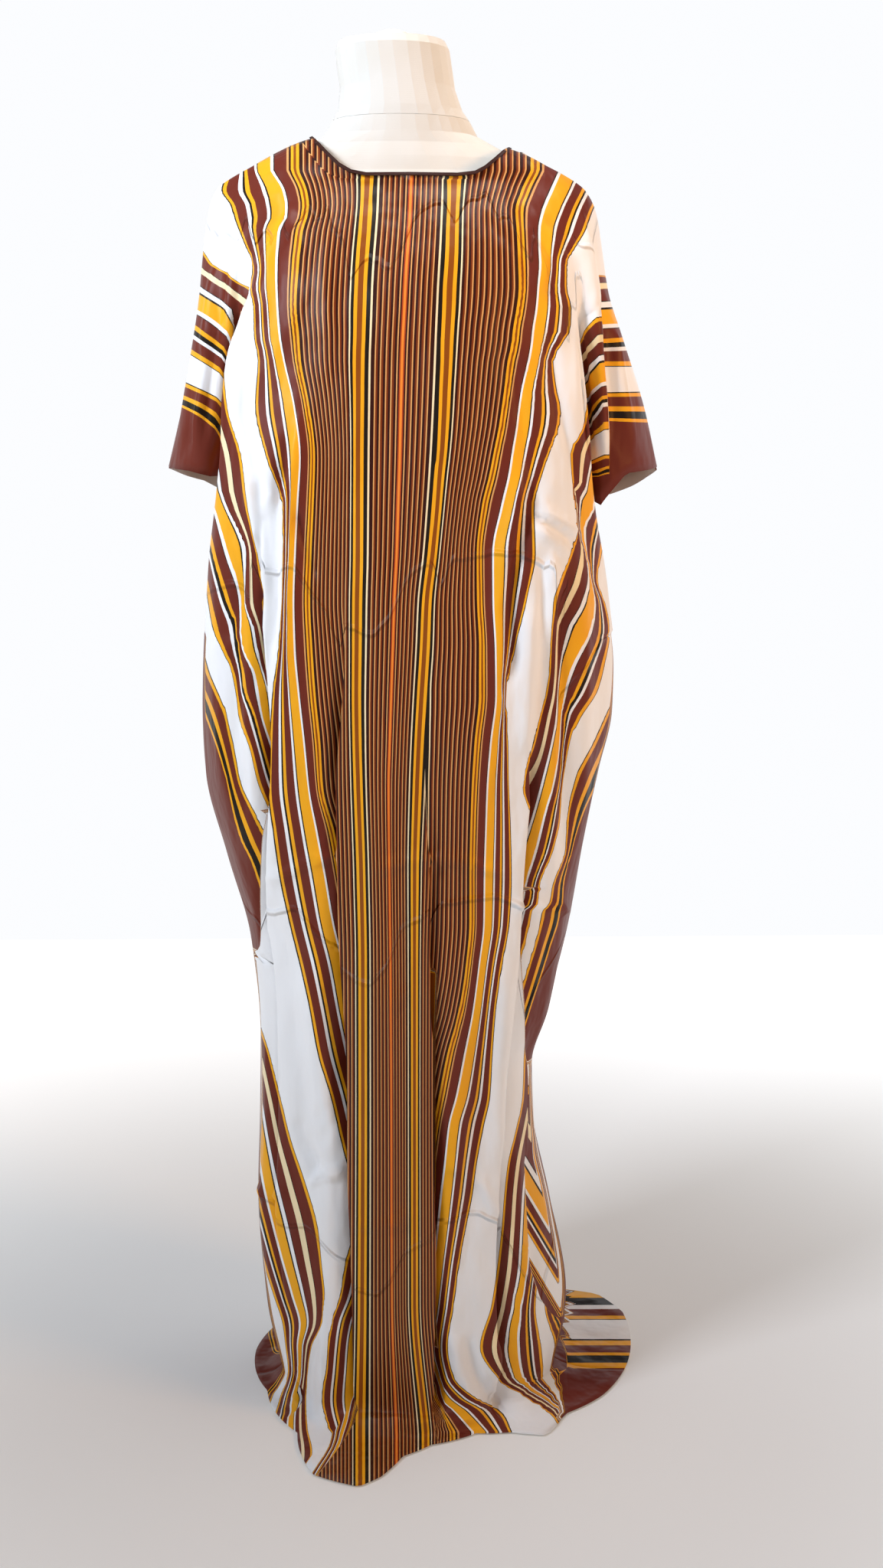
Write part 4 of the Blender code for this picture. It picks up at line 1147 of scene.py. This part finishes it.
LEFT_BEYOND_CHART = [
    (660, 323, 296, 280, 266, 250, 232, 214, 176),
    (723, 334.5, 321.5, 298.5, 277, 262, 244, 226, 188),
    (785, 341, 319.5, 317.5, 295, 271, 248, 228, 190),
    (822, 348, 332.5, 314, 310.5, 277.5, 250, 227, 188),
    (847, 352, 337, 317, 311.5, 288.5, 264, 238, 195),
    (880, 356, 345, 334, 315.5, 304.5, 273.5, 246, 205),
    (902, 362, 352, 338, 318, 308, 283, 256, 215),
    (935, 372, 356, 343, 331.5, 311, 297.5, 268, 225),
    (980, 386, 370, 358, 343, 326.5, 306, 284.5, 238),
    (1021, 398, 382, 370, 355, 336, 313.5, 296.5, 250),
    (1062, 412, 396, 385, 371, 353, 333, 304.5, 260),
    (1096, 425, 408, 398, 384, 368, 351, 314, 268),
    (1129, 436, 420, 409, 396, 381, 364, 329.5, 280),
    (1205, 462, 446, 435, 422, 407, 390, 352, 300),
    (1262, 472, 456, 445, 432, 417, 400, 366, 312),
]
RIGHT_BEYOND_THREADS = (29.65, 32.5, 34.3, 36.05, 38.4, 41.0, 43.9, 47.1, 53.5)
RIGHT_BEYOND_CHART = [
    (640, 748, 750, 767, 775, 785, 797, 812, 828, 860),
    (660, 752, 753, 757.5, 775.5, 784, 796, 810, 826, 858),
    (690, 755, 756, 757, 761.5, 778, 790, 805, 820, 852),
    (723, 744.5, 763.5, 764.5, 765.5, 771.5, 786, 802, 818, 850),
    (756, 730, 759, 771, 772, 773.5, 779.5, 800, 816, 848),
    (789, 720.5, 744, 764.5, 777, 783, 790, 806, 822, 852),
    (822, 719.5, 729, 746, 770.5, 785, 797, 812, 828, 858),
    (872, 717.5, 727.5, 732, 745.5, 768.5, 789, 808, 826, 858),
    (903, 713.5, 725.5, 729, 736, 754.5, 780.5, 803, 822, 854),
    (937, 704.5, 719, 728, 733, 737, 758.5, 789, 812, 846),
    (972, 696.5, 712, 722, 730.5, 735, 741, 773, 800, 838),
    (1018, 682.5, 699.5, 711, 723.5, 731.5, 733.5, 749, 782, 824),
    (1064, 669, 687.5, 698.5, 710, 722.5, 732.5, 739, 761, 806),
    (1110, 655, 671.5, 684, 698.5, 712.5, 722.5, 738, 746.5, 792),
    (1155, 640, 658, 671, 685.5, 696.5, 705, 721.5, 736, 775),
    (1181, 632, 650, 663, 680, 692, 702, 716, 734.5, 770),
    (1187, 622, 642, 656, 668, 682, 696, 708, 732, 765),
    (1201, 620, 640, 654, 664, 678, 693.5, 705, 730, 762),
    (1236, 614, 633, 645, 654, 668, 686, 696, 719, 752),
    (1262, 606, 624, 636, 646, 660, 678, 688, 711, 744),
    (1320, 592, 608, 620, 630, 644, 660, 672, 692, 726),
    (1400, 575, 590, 602, 612, 626, 640, 652, 668, 704),
]
# The sleeves: the place of the lip, of the right sleeve's crease and of the outer edge on each line, and
# the thread that is seen there. The crease hides some cloth, so it has a thread to each side.
Sleeve = namedtuple("Sleeve", "down lip crease edge at_lip at_crease past_crease at_edge")
LEFT_SLEEVE = [
    Sleeve(240, 350, 320, 296, 18.6, 20.4, 20.4, 21.8),
    Sleeve(300, 340, 305, 274, 20.4, 23.6, 23.6, 26.9),
    Sleeve(331, 335, 300, 266, 21.4, 26.2, 26.2, 29.7),
    Sleeve(352, 332, 298, 263.5, 22.6, 29.2, 29.2, 32.2),
    Sleeve(364, 328, 295, 261.5, 27.0, 30.9, 30.9, 33.2),
    Sleeve(375, 326, 293, 260, 29.65, 32.3, 32.3, 33.9),
    Sleeve(399, 319, 288, 256, 32.5, 34.3, 34.3, 35.7),
    Sleeve(425, 314, 283, 252, 34.4, 36.4, 36.4, 38.1),
    Sleeve(444, 311, 280, 248, 36.0, 38.0, 38.0, 39.6),
    Sleeve(468, 305, 275, 245, 38.5, 40.1, 40.1, 41.5),
    Sleeve(497, 300, 270, 240, 41.1, 42.6, 42.6, 43.9),
    Sleeve(530, 295, 265, 235, 44.4, 45.9, 45.9, 47.1),
    Sleeve(570, 288, 259, 228, 47.4, 49.0, 49.0, 50.4),
    Sleeve(609, 283, 252, 221, 51.0, 52.2, 52.2, 53.5),
    Sleeve(640, 281, 250, 218, 53.5, 54.6, 54.6, 56.0),
]
RIGHT_SLEEVE = [
    Sleeve(231, 715, 742, 753, 13.6, 16.2, 16.2, 17.2),
    Sleeve(273, 722, 755, 775, 16.3, 20.0, 20.4, 22.2),
    Sleeve(312, 728, 764, 782, 19.6, 22.7, 25.0, 25.8),
    Sleeve(345, 735, 770, 787, 22.4, 25.0, 28.6, 28.9),
    Sleeve(378, 739, 775, 792, 25.0, 27.4, 32.5, 32.6),
    Sleeve(413, 746, 779, 804, 27.4, 29.65, 35.1, 35.2),
    Sleeve(444, 751, 782, 813, 29.65, 32.3, 38.0, 38.2),
    Sleeve(472, 754, 784, 823, 32.5, 34.4, 40.4, 40.4),
    Sleeve(500, 758, 787, 834, 34.3, 36.2, 42.8, 42.9),
    Sleeve(530, 760, 788, 842, 36.5, 39.3, 45.65, 45.65),
    Sleeve(562, 762, 789, 848, 39.6, 41.0, 48.2, 48.0),
    Sleeve(593, 766, 789, 856, 42.9, 43.9, 52.6, 52.6),
    Sleeve(620, 770, 795, 858, 46.0, 47.2, 55.5, 55.5),
    Sleeve(652, 772, 800, 860, 53.5, 54.0, 58.0, 58.0),
]


def thread_in(chart, threads, across, down):
    """The thread that a chart puts at each place in the photograph."""
    lines = np.array(chart, float)
    places = np.array([curve(lines[:, 0], lines[:, index + 1], down) for index in range(len(threads))])
    way = 1.0 if lines[0, -1] > lines[0, 1] else -1.0
    places, across = places * way, across * way
    index = np.clip((across[None] >= places[1:-1]).sum(axis=0), 0, len(threads) - 2)
    each = np.arange(across.size)
    low, high = places[index, each], places[index + 1, each]
    threads = np.array(threads)
    return threads[index] + (across - low) / (high - low) * (threads[index + 1] - threads[index])


def bridged(threads, lengths, start, end, much=1.0):
    """Spreads the hidden threads of a fold evenly between the columns where it starts and ends."""
    share = (lengths[start:end + 1] - lengths[start]) / (lengths[end] - lengths[start])
    even = threads[start] + (threads[end] - threads[start]) * share
    threads[start:end + 1] += (even - threads[start:end + 1]) * much


def sleeve_threads(side, across, down):
    """The thread at each place of a sleeve, between its lip, its crease and its outer edge."""
    table = LEFT_SLEEVE if side == "left" else RIGHT_SLEEVE
    lines = {name: curve([row.down for row in table], [getattr(row, name) for row in table], down)
             for name in Sleeve._fields[1:]}
    inward = (across - lines["lip"]) / (lines["crease"] - lines["lip"])
    outward = (across - lines["crease"]) / (lines["edge"] - lines["crease"])
    inner = lines["at_lip"] + (lines["at_crease"] - lines["at_lip"]) * np.clip(inward, -0.3, 1.0)
    outer = lines["past_crease"] + (lines["at_edge"] - lines["past_crease"]) * np.clip(outward, 0.0, 1.0)
    past = inward >= 1.0
    if side == "right":  # a column lies along this sleeve's crease
        past = np.arange(len(across)) > CREASE
    return np.where(past, outer, inner)


# The slanting stripes at the lower right and the flat ones of the trailing corner: the thread that is seen
# at each height in the photograph, taken along the slant for the first.
SLANTED = {1400: 29, 1486: 32.5, 1545: 35.2, 1585: 38.4, 1612: 41, 1640: 43.9, 1652: 47.1, 1700: 53.5}
SLANT, SLANT_FROM = 1.68, 690  # how steeply they fall, and the place across where their heights are taken
TRAILING = {
    1689: 38.1, 1707: 39.05, 1712: 39.5, 1719: 40.5, 1724: 41.0, 1748: 43.9, 1755: 44.4, 1762: 45.0,
    1768: 45.9, 1773: 46.5, 1783: 47.0, 1788: 47.2, 1815: 53.0,
}
TRAIL_EDGE, TRAIL_TOP, TRAIL_HEIGHT = 730, 1680, 4.5  # where that corner starts, and how high it lies

# The right fold of the middle hides the white and gold beside it: only this thread shows inside.
AMBER_THREAD = 4.9
PUCKERED = 1790  # the height in the photograph below which the hem's puckers show all the cloth
LIP_THREAD = 29.65  # the edge of the broad white stripe, which runs along the right side fold
# Heights in the photograph, and over how much the change there goes: where the flaps part from the cloth
# beside them, where the slanting stripes start, where the sleeves start to have stripes of their own and
# where the valleys behind them hide cloth.
FLAP_FROM = {"left": (640, 30), "right": (630, 12)}
SLANT_BLEND = 6
SLEEVE_FROM, SLEEVE_BLEND = 322, 30
HIDDEN_FROM, HIDDEN_BLEND = 400, 40
# Below the chest a fold hides its cloth once its edges are seen fewer pixels apart than the first number,
# and all of it from the second.
CHEST_LOW, EDGES_APART, EDGES_CLOSE = 600, 24, 10
TIP_LENGTH, TIP_COLUMNS = 120, 4  # how a flap's tip narrows at the back: over what height, and how much
TRAIL_BLEND, TRAIL_FADE = 4, 1.5  # how softly the trailing corner's stripes start, in pixels and in height

# Past the silhouette a skirt's row turns to the side seam, where the panel ends. Below a flap's tip the
# stripes crowd together at first, and then spread by TURN_GROWTH for each pixel further down.
TURN_LEAST, TURN_NARROW, TURN_GROWTH = 5.0, 0.8, 0.035


def flap_share(side, columns, down, panel):
    """How far each column of a row belongs to the side's flap, from 0 to 1."""
    start, blend = FLAP_FROM[side]
    flap = eased((down - start) / blend)
    first, heights = FLAP[side], list(FLAP_EDGES[side])
    if down[first] > heights[0]:
        if panel == "back":
            first = first + TIP_COLUMNS * eased((down[first] - FLAP_TIPS[side] + TIP_LENGTH) / TIP_LENGTH)
        flap = flap * (np.arange(len(columns)) > first) * (down[FLAP[side]] < heights[-1])
    return flap


def row_threads(side, columns, panel):
    """The thread at each column of a row, given as if it were the front panel's."""
    across, down = in_photo(columns)
    lengths = along(columns)
    left = side == "left"
    found = thread_in(LEFT_CHART if left else RIGHT_CHART, SIDE_THREADS, across, down)
    middle = thread_in(MIDDLE_CHART, MIDDLE_THREADS, across, down) * SIDES[side]
    if left:
        beyond = thread_in(LEFT_BEYOND_CHART, LEFT_BEYOND_THREADS, across, down)
    else:
        beyond = thread_in(RIGHT_BEYOND_CHART, RIGHT_BEYOND_THREADS, across, down)
        beyond = np.where(beyond > LIP_THREAD, beyond, np.minimum(found, LIP_THREAD))
        slanted = curve(list(SLANTED), list(SLANTED.values()), down - SLANT * (across - SLANT_FROM))
        beyond += (slanted - beyond) * eased((down - FLAP_TIPS["right"]) / SLANT_BLEND)
    beyond = found + (beyond - found) * flap_share(side, columns, down, panel)
    hidden = {}
    for start, end in ((FOLD_IN, FOLD_OUT), (LAST_FOLD_IN, LAST_FOLD_OUT)):
        closed = (EDGES_APART - abs(across[end] - across[start])) / (EDGES_APART - EDGES_CLOSE)
        hidden[start] = float(eased(closed)) * (down[start] > CHEST_LOW)
    start = LAST_FOLD_OUT if hidden[LAST_FOLD_IN] == 1.0 else LAST_FOLD_IN
    found[start:] = beyond[start:]
    found[:FOLD_IN + 1] = middle[:FOLD_IN + 1]
    if not left and hidden[FOLD_IN] == 1.0 and down[FOLD_IN] < PUCKERED:
        found[FOLD_IN + 1:FOLD_OUT] = AMBER_THREAD
    elif left or down[FOLD_IN] > PUCKERED:
        bridged(found, lengths, FOLD_IN, FOLD_OUT, hidden[FOLD_IN])
    bridged(found, lengths, LAST_FOLD_IN, LAST_FOLD_OUT, hidden[LAST_FOLD_IN])
    if len(columns) > SKIRT_COLUMNS + 1:
        sleeve = sleeve_threads(side, across, down)
        sleeve[:BODY_COLUMNS + 1] = found[:BODY_COLUMNS + 1]
        valley = sleeve.copy()
        bridged(valley, lengths, BODY_COLUMNS, FACE)
        sleeve += (valley - sleeve) * eased((down[BODY_COLUMNS] - HIDDEN_FROM) / HIDDEN_BLEND)
        found += (sleeve - found) * eased((down[BODY_COLUMNS] - SLEEVE_FROM) / SLEEVE_BLEND)
    else:
        edge = LAST_FOLD_OUT + int(np.argmax(across[LAST_FOLD_OUT:] * SIDES[side]))
        turning = min(lengths[edge], lengths[-1] - TURN_LEAST)
        at_edge = np.interp(turning, lengths, found)
        zone = lengths[-1] - turning
        below = down[edge] - FLAP_TIPS[side]
        if below > 0:
            zone = min(zone, TURN_NARROW + TURN_GROWTH * below)
        turn = np.minimum((lengths - turning) / zone, 1.0)
        found = np.where(turn > 0, at_edge + (HALF_CLOTH - at_edge) * turn, found)
        if not left:  # the trailing corner, by the panel's true place
            across, down = in_photo(columns * np.array([1.0, -PANELS[panel], 1.0]))
            trailing = eased((across - TRAIL_EDGE) / TRAIL_BLEND) * eased((down - TRAIL_TOP) / TRAIL_BLEND)
            trailing *= eased((TRAIL_HEIGHT - columns[:, 2]) / TRAIL_FADE)
            found += (curve(list(TRAILING), list(TRAILING.values()), down) - found) * trailing
    return found * SIDES[side]


NECK_ROWS = sum(slope.steps for slope in SLOPES if slope.part == "neck")


def panel_mesh(halves):
    """The grid as a mesh, and the mesh's vertices in their rows and columns. The halves part at the neck."""
    mesh = bmesh.new()
    mesh.verts.layers.float_vector.new("pattern")
    mesh.loops.layers.uv.new("threads")
    laid = {}
    for side, rows in halves.items():
        laid[side] = []
        for index, columns in enumerate(rows):
            line = [mesh.verts.new(point * CM) for point in columns[1:]]
            if side == "right" and index >= NECK_ROWS:
                line.insert(0, laid["left"][index][0])
            else:
                line.insert(0, mesh.verts.new(columns[0] * CM))
            laid[side].append(line)
        for upper, lower in zip(laid[side], laid[side][1:]):
            for column in range(min(len(upper), len(lower)) - 1):
                mesh.faces.new((upper[column], upper[column + 1], lower[column + 1], lower[column]))
    bmesh.ops.recalc_face_normals(mesh, faces=mesh.faces)
    mesh.normal_update()
    if sum(vert.normal.y * vert.co.y for vert in mesh.verts) < 0:
        bmesh.ops.reverse_faces(mesh, faces=mesh.faces)
        mesh.normal_update()
    return mesh, laid


def crease_mesh(mesh, panel):
    """Moves the cloth along its normals by its creases and waves. The creases fade where the cloth turns away
    from the front or the back.
    """
    verts = list(mesh.verts)
    places = np.array([vert.co for vert in verts]) / CM
    normals = np.array([vert.normal for vert in verts])
    across, down = in_photo(places * np.array([1.0, -PANELS[panel], 1.0]))
    table = FRONT_CREASES if panel == "front" else BACK_CREASES
    facing = np.clip(normals[:, 1] * PANELS[panel] * FACING - TURNED_AWAY, 0.0, 1.0)
    lift = creased(table, across, down) * facing
    height = places[:, 2]
    around = FORM_RADIUS * np.arctan2(places[:, 0], PANELS[panel] * places[:, 1])
    loose = TAUT + (1 - TAUT) * eased((TAUT_ABOVE - height) / TAUT_BLEND)
    for wave in WAVES:
        phase = around / wave.across + height / wave.down
        lift += wave.lift * np.sin(2 * np.pi * phase + wave.start) * loose
    seams = np.minimum(1.0, np.abs(places[:, 1]) / SEAM_CALM)
    lift *= seams * eased((height - HEM_HEIGHT) / HEM_CALM)
    for vert, normal, far in zip(verts, normals, lift):
        vert.co += Vector(normal * far * CM)


def lay_threads(mesh, laid, panel):
    """Writes each point's thread and its way up from the hem to the mesh's UV map, in metres."""
    pattern = mesh.verts.layers.float_vector["pattern"]
    mirror = np.array([1.0, -PANELS[panel], 1.0]) / CM
    for side, lines in laid.items():
        up = np.zeros(len(lines[0]))
        last = None
        for line in reversed(lines):
            columns = np.array([vert.co for vert in line]) * mirror
            if last is not None:
                shared = min(len(last), len(columns))
                up[:shared] += np.linalg.norm(columns[:shared] - last[:shared], axis=1)
            last = columns
            for vert, thread, length in zip(line, row_threads(side, columns, panel), up):
                vert[pattern] = (thread * CM, length * CM, 0.0)
    uv = mesh.loops.layers.uv["threads"]
    for face in mesh.faces:
        for loop in face.loops:
            loop[uv].uv = loop.vert[pattern].xy


# The print, from the middle thread out on both sides: where each stripe ends, in centimetres, and its
# colour. Between the gold lines lie fine tan lines, one each 6.2 mm.
Stripe = namedtuple("Stripe", "end colour")
DYES = {
    "orange": "#f08a32",
    "rust": "#a8401c",
    "maroon": "#330e07",
    "umber": "#7a3410",
    "tan": "#dba263",
    "cream": "#f6e3b8",
    "gold": "#f4ac1c",
    "amber": "#8e4a0c",
    "brown": "#6c2a1c",
    "black": "#1b120c",
    "white": "#f2f3f5",
}
FINE_STEP = 0.62


def fine_lines(start, end):
    """Dark, brown and tan threads by turns."""
    found = []
    at = start
    while at + FINE_STEP <= end + 0.01:
        found += [Stripe(at + 0.26, "maroon"), Stripe(at + 0.47, "umber"), Stripe(at + FINE_STEP, "tan")]
        at += FINE_STEP
    return found


STRIPES = [Stripe(0.12, "orange"), Stripe(0.26, "rust"), Stripe(0.45, "maroon"), Stripe(0.6, "tan")]
STRIPES += fine_lines(0.6, 3.1)
STRIPES += [
    Stripe(3.5, "maroon"),
    Stripe(3.72, "cream"),
    Stripe(4.2, "black"),
    Stripe(4.6, "gold"),
    Stripe(5.2, "amber"),
    Stripe(5.6, "gold"),
    Stripe(5.95, "black"),
    Stripe(6.14, "cream"),
]
STRIPES += fine_lines(6.14, 11.75)
STRIPES += [
    Stripe(12.1, "maroon"),
    Stripe(12.42, "gold"),
    Stripe(12.7, "amber"),
    Stripe(13.0, "gold"),
    Stripe(13.25, "maroon"),
    Stripe(13.5, "tan"),
    Stripe(14.9, "brown"),
    Stripe(15.05, "black"),
    Stripe(15.4, "white"),
    Stripe(17.2, "gold"),
    Stripe(17.35, "black"),
    Stripe(17.8, "white"),
    Stripe(19.1, "brown"),
    Stripe(19.55, "gold"),
    Stripe(19.9, "black"),
    Stripe(20.4, "white"),
    Stripe(21.7, "brown"),
    Stripe(22.1, "gold"),
    Stripe(22.25, "black"),
    Stripe(29.65, "white"),
    Stripe(29.8, "black"),
    Stripe(30.2, "gold"),
    Stripe(31.55, "brown"),
    Stripe(31.7, "black"),
    Stripe(32.5, "cream"),
    Stripe(33.7, "brown"),
    Stripe(33.8, "black"),
    Stripe(34.3, "white"),
    Stripe(34.45, "black"),
    Stripe(36.05, "gold"),
    Stripe(36.55, "white"),
    Stripe(36.7, "black"),
    Stripe(37.9, "brown"),
    Stripe(38.4, "gold"),
    Stripe(38.85, "black"),
    Stripe(39.25, "white"),
    Stripe(40.35, "brown"),
    Stripe(40.85, "gold"),
    Stripe(41.0, "black"),
    Stripe(43.9, "white"),
    Stripe(44.05, "black"),
    Stripe(44.55, "gold"),
    Stripe(45.65, "brown"),
    Stripe(46.15, "gold"),
    Stripe(46.8, "black"),
    Stripe(47.1, "gold"),
    Stripe(60.0, "brown"),
]
RAMP_STRIPES = 30  # a ramp holds 32 colours


def stripe_colour(tree, thread):
    """The print's colour at a thread, from as many ramps as it takes."""
    colour = None
    for first in range(0, len(STRIPES), RAMP_STRIPES):
        part = STRIPES[first:first + RAMP_STRIPES]
        start = STRIPES[first - 1].end if first else 0.0
        length = part[-1].end - start
        at = node(tree, "MapRange",
                  links={"Value": thread, "From Min": start * CM, "From Max": (start + length) * CM})
        ramp = node(tree, "ValToRGB", links={"Fac": at.outputs[0]})
        ramp.color_ramp.interpolation = "CONSTANT"
        elements = ramp.color_ramp.elements
        elements.remove(elements[-1])
        elements[0].position = 0.0
        elements[0].color = linear(DYES[part[0].colour])
        for before, stripe in zip(part, part[1:]):
            element = elements.new((before.end - start) / length)
            element.color = linear(DYES[stripe.colour])
        if colour is None:
            colour = ramp.outputs["Color"]
        else:
            past = node(tree, "Math", {"operation": "GREATER_THAN"}, {0: thread, 1: start * CM})
            mixed = node(tree, "Mix", {"data_type": "RGBA"},
                         {"Factor": past.outputs[0], 6: colour, 7: ramp.outputs["Color"]})
            colour = mixed.outputs[2]
    return colour


# The cloth lay folded in a packet, which left sharp creases across it: how far up the first lies, how far
# apart they are, how far they wander and how wide they are, in metres.
PACKET_START, PACKET_FOLD, PACKET_WANDER, PACKET_WIDTH = 0.27, 0.375, 0.02, 0.005
WEAVE_GRAINS = 900.0  # grains in a metre, 1.1 mm each; the real threads, 0.2 mm, are too fine to show
CRUMPLES = 17.0  # crumples in a metre, 6 cm across and, as they hang, 13 cm long
WANDERINGS = 7.0  # bends of the packet's creases in a metre, 14 cm each


def cloth_finish(name, reverse):
    """Printed satin-faced cloth: a soft sheen, fine threads, sharp creases across and faint crumpling. The
    dye doesn't soak through, so the reverse is pale."""
    material, tree, shader = new_material(name)
    place = node(tree, "UVMap", {"uv_map": "threads"})
    split = node(tree, "SeparateXYZ", links={0: place.outputs[0]})
    thread = node(tree, "Math", {"operation": "ABSOLUTE"}, {0: split.outputs[0]})
    colour = stripe_colour(tree, thread.outputs[0])
    if reverse:
        paled = node(tree, "Mix", {"data_type": "RGBA"}, {"Factor": 0.55, 6: colour, 7: linear("#e9dccb")})
        colour = paled.outputs[2]
    tree.links.new(colour, shader.inputs["Base Color"])
    shader.inputs["Roughness"].default_value = 0.46
    shader.inputs["Sheen Weight"].default_value = 0.02
    shader.inputs["Sheen Roughness"].default_value = 0.4
    shader.inputs["Specular IOR Level"].default_value = 0.2
    body = node(tree, "TexCoord")
    hanging = node(tree, "Mapping", links={"Vector": body.outputs["Object"], "Scale": (1.0, 1.0, 0.45)})
    crumple = node(tree, "TexNoise", links={"Vector": hanging.outputs[0], "Scale": CRUMPLES, "Detail": 3.0,
                                            "Roughness": 0.45})
    wander = node(tree, "TexNoise",
                  links={"Vector": body.outputs["Object"], "Scale": WANDERINGS, "Detail": 2.0})
    shifted = node(tree, "MapRange",
                   links={"Value": wander.outputs[0], "To Min": -PACKET_WANDER - PACKET_START,
                          "To Max": PACKET_WANDER - PACKET_START})
    up = node(tree, "Math", {"operation": "ADD"}, {0: split.outputs[1], 1: shifted.outputs[0]})
    from_fold = node(tree, "Math", {"operation": "PINGPONG"}, {0: up.outputs[0], 1: PACKET_FOLD / 2})
    ridge = node(tree, "MapRange", {"interpolation_type": "SMOOTHSTEP"},
                 {"Value": from_fold.outputs[0], "From Min": 0.0, "From Max": PACKET_WIDTH,
                  "To Min": 1.0, "To Max": 0.0})
    weave = node(tree, "TexNoise",
                 links={"Vector": body.outputs["Object"], "Scale": WEAVE_GRAINS, "Detail": 1.0})
    folded = node(tree, "Bump", links={"Strength": 0.7, "Distance": 0.004, "Height": ridge.outputs[0]})
    low = node(tree, "Bump", links={"Strength": 0.7, "Distance": 0.02, "Height": crumple.outputs[0],
                                    "Normal": folded.outputs[0]})
    high = node(tree, "Bump", links={"Strength": 0.15, "Distance": 0.0004, "Height": weave.outputs[0],
                                     "Normal": low.outputs[0]})
    tree.links.new(high.outputs[0], shader.inputs["Normal"])
    return material


CLOTH_THICKNESS = 0.0012  # the real cloth's is 0.2 mm; this much gives its edges a soft line
printed_face = cloth_finish("printed satin cloth, face", False)
printed_reverse = cloth_finish("printed satin cloth, reverse", True)
for panel in PANELS:
    sewn, laid = panel_mesh(grids[panel])
    crease_mesh(sewn, panel)
    lay_threads(sewn, laid, panel)
    cloth = new_object("cloth_" + panel, sewn)
    cloth.data.materials.append(printed_face)
    cloth.data.materials.append(printed_reverse)
    thin = cloth.modifiers.new("thickness", "SOLIDIFY")
    thin.thickness = CLOTH_THICKNESS
    thin.offset = -1.0
    thin.material_offset = 1
    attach(cloth, "root")
    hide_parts("dress_" + panel)


# The strip that finishes the neck opening: a narrow fold of plain dark brown satin-faced cloth, sewn once
# round the edge of both panels.
DYE_PATCHES = 30.0  # patches in a metre, 3 cm each


def strip_finish(name, colour):
    """The panels' cloth in one colour, with a fine weave."""
    material, tree, shader = new_material(name)
    place = node(tree, "TexCoord")
    dye = node(tree, "TexNoise",
                links={"Vector": place.outputs["Object"], "Scale": DYE_PATCHES, "Detail": 2.0})
    mixed = node(tree, "Mix", {"data_type": "RGBA"},
                 {"Factor": dye.outputs[0], 6: linear(colour), 7: linear("#3d1c14")})
    tree.links.new(mixed.outputs[2], shader.inputs["Base Color"])
    shader.inputs["Roughness"].default_value = 0.46
    shader.inputs["Sheen Weight"].default_value = 0.02
    shader.inputs["Specular IOR Level"].default_value = 0.2
    weave = node(tree, "TexNoise",
                 links={"Vector": place.outputs["Object"], "Scale": WEAVE_GRAINS, "Detail": 1.0})
    relief = node(tree, "Bump", links={"Strength": 0.25, "Distance": 0.0004, "Height": weave.outputs[0]})
    tree.links.new(relief.outputs[0], shader.inputs["Normal"])
    return material


finish_cad("neck_binding", strip_finish("plain satin cloth of the neck strip", "#2c140f"))
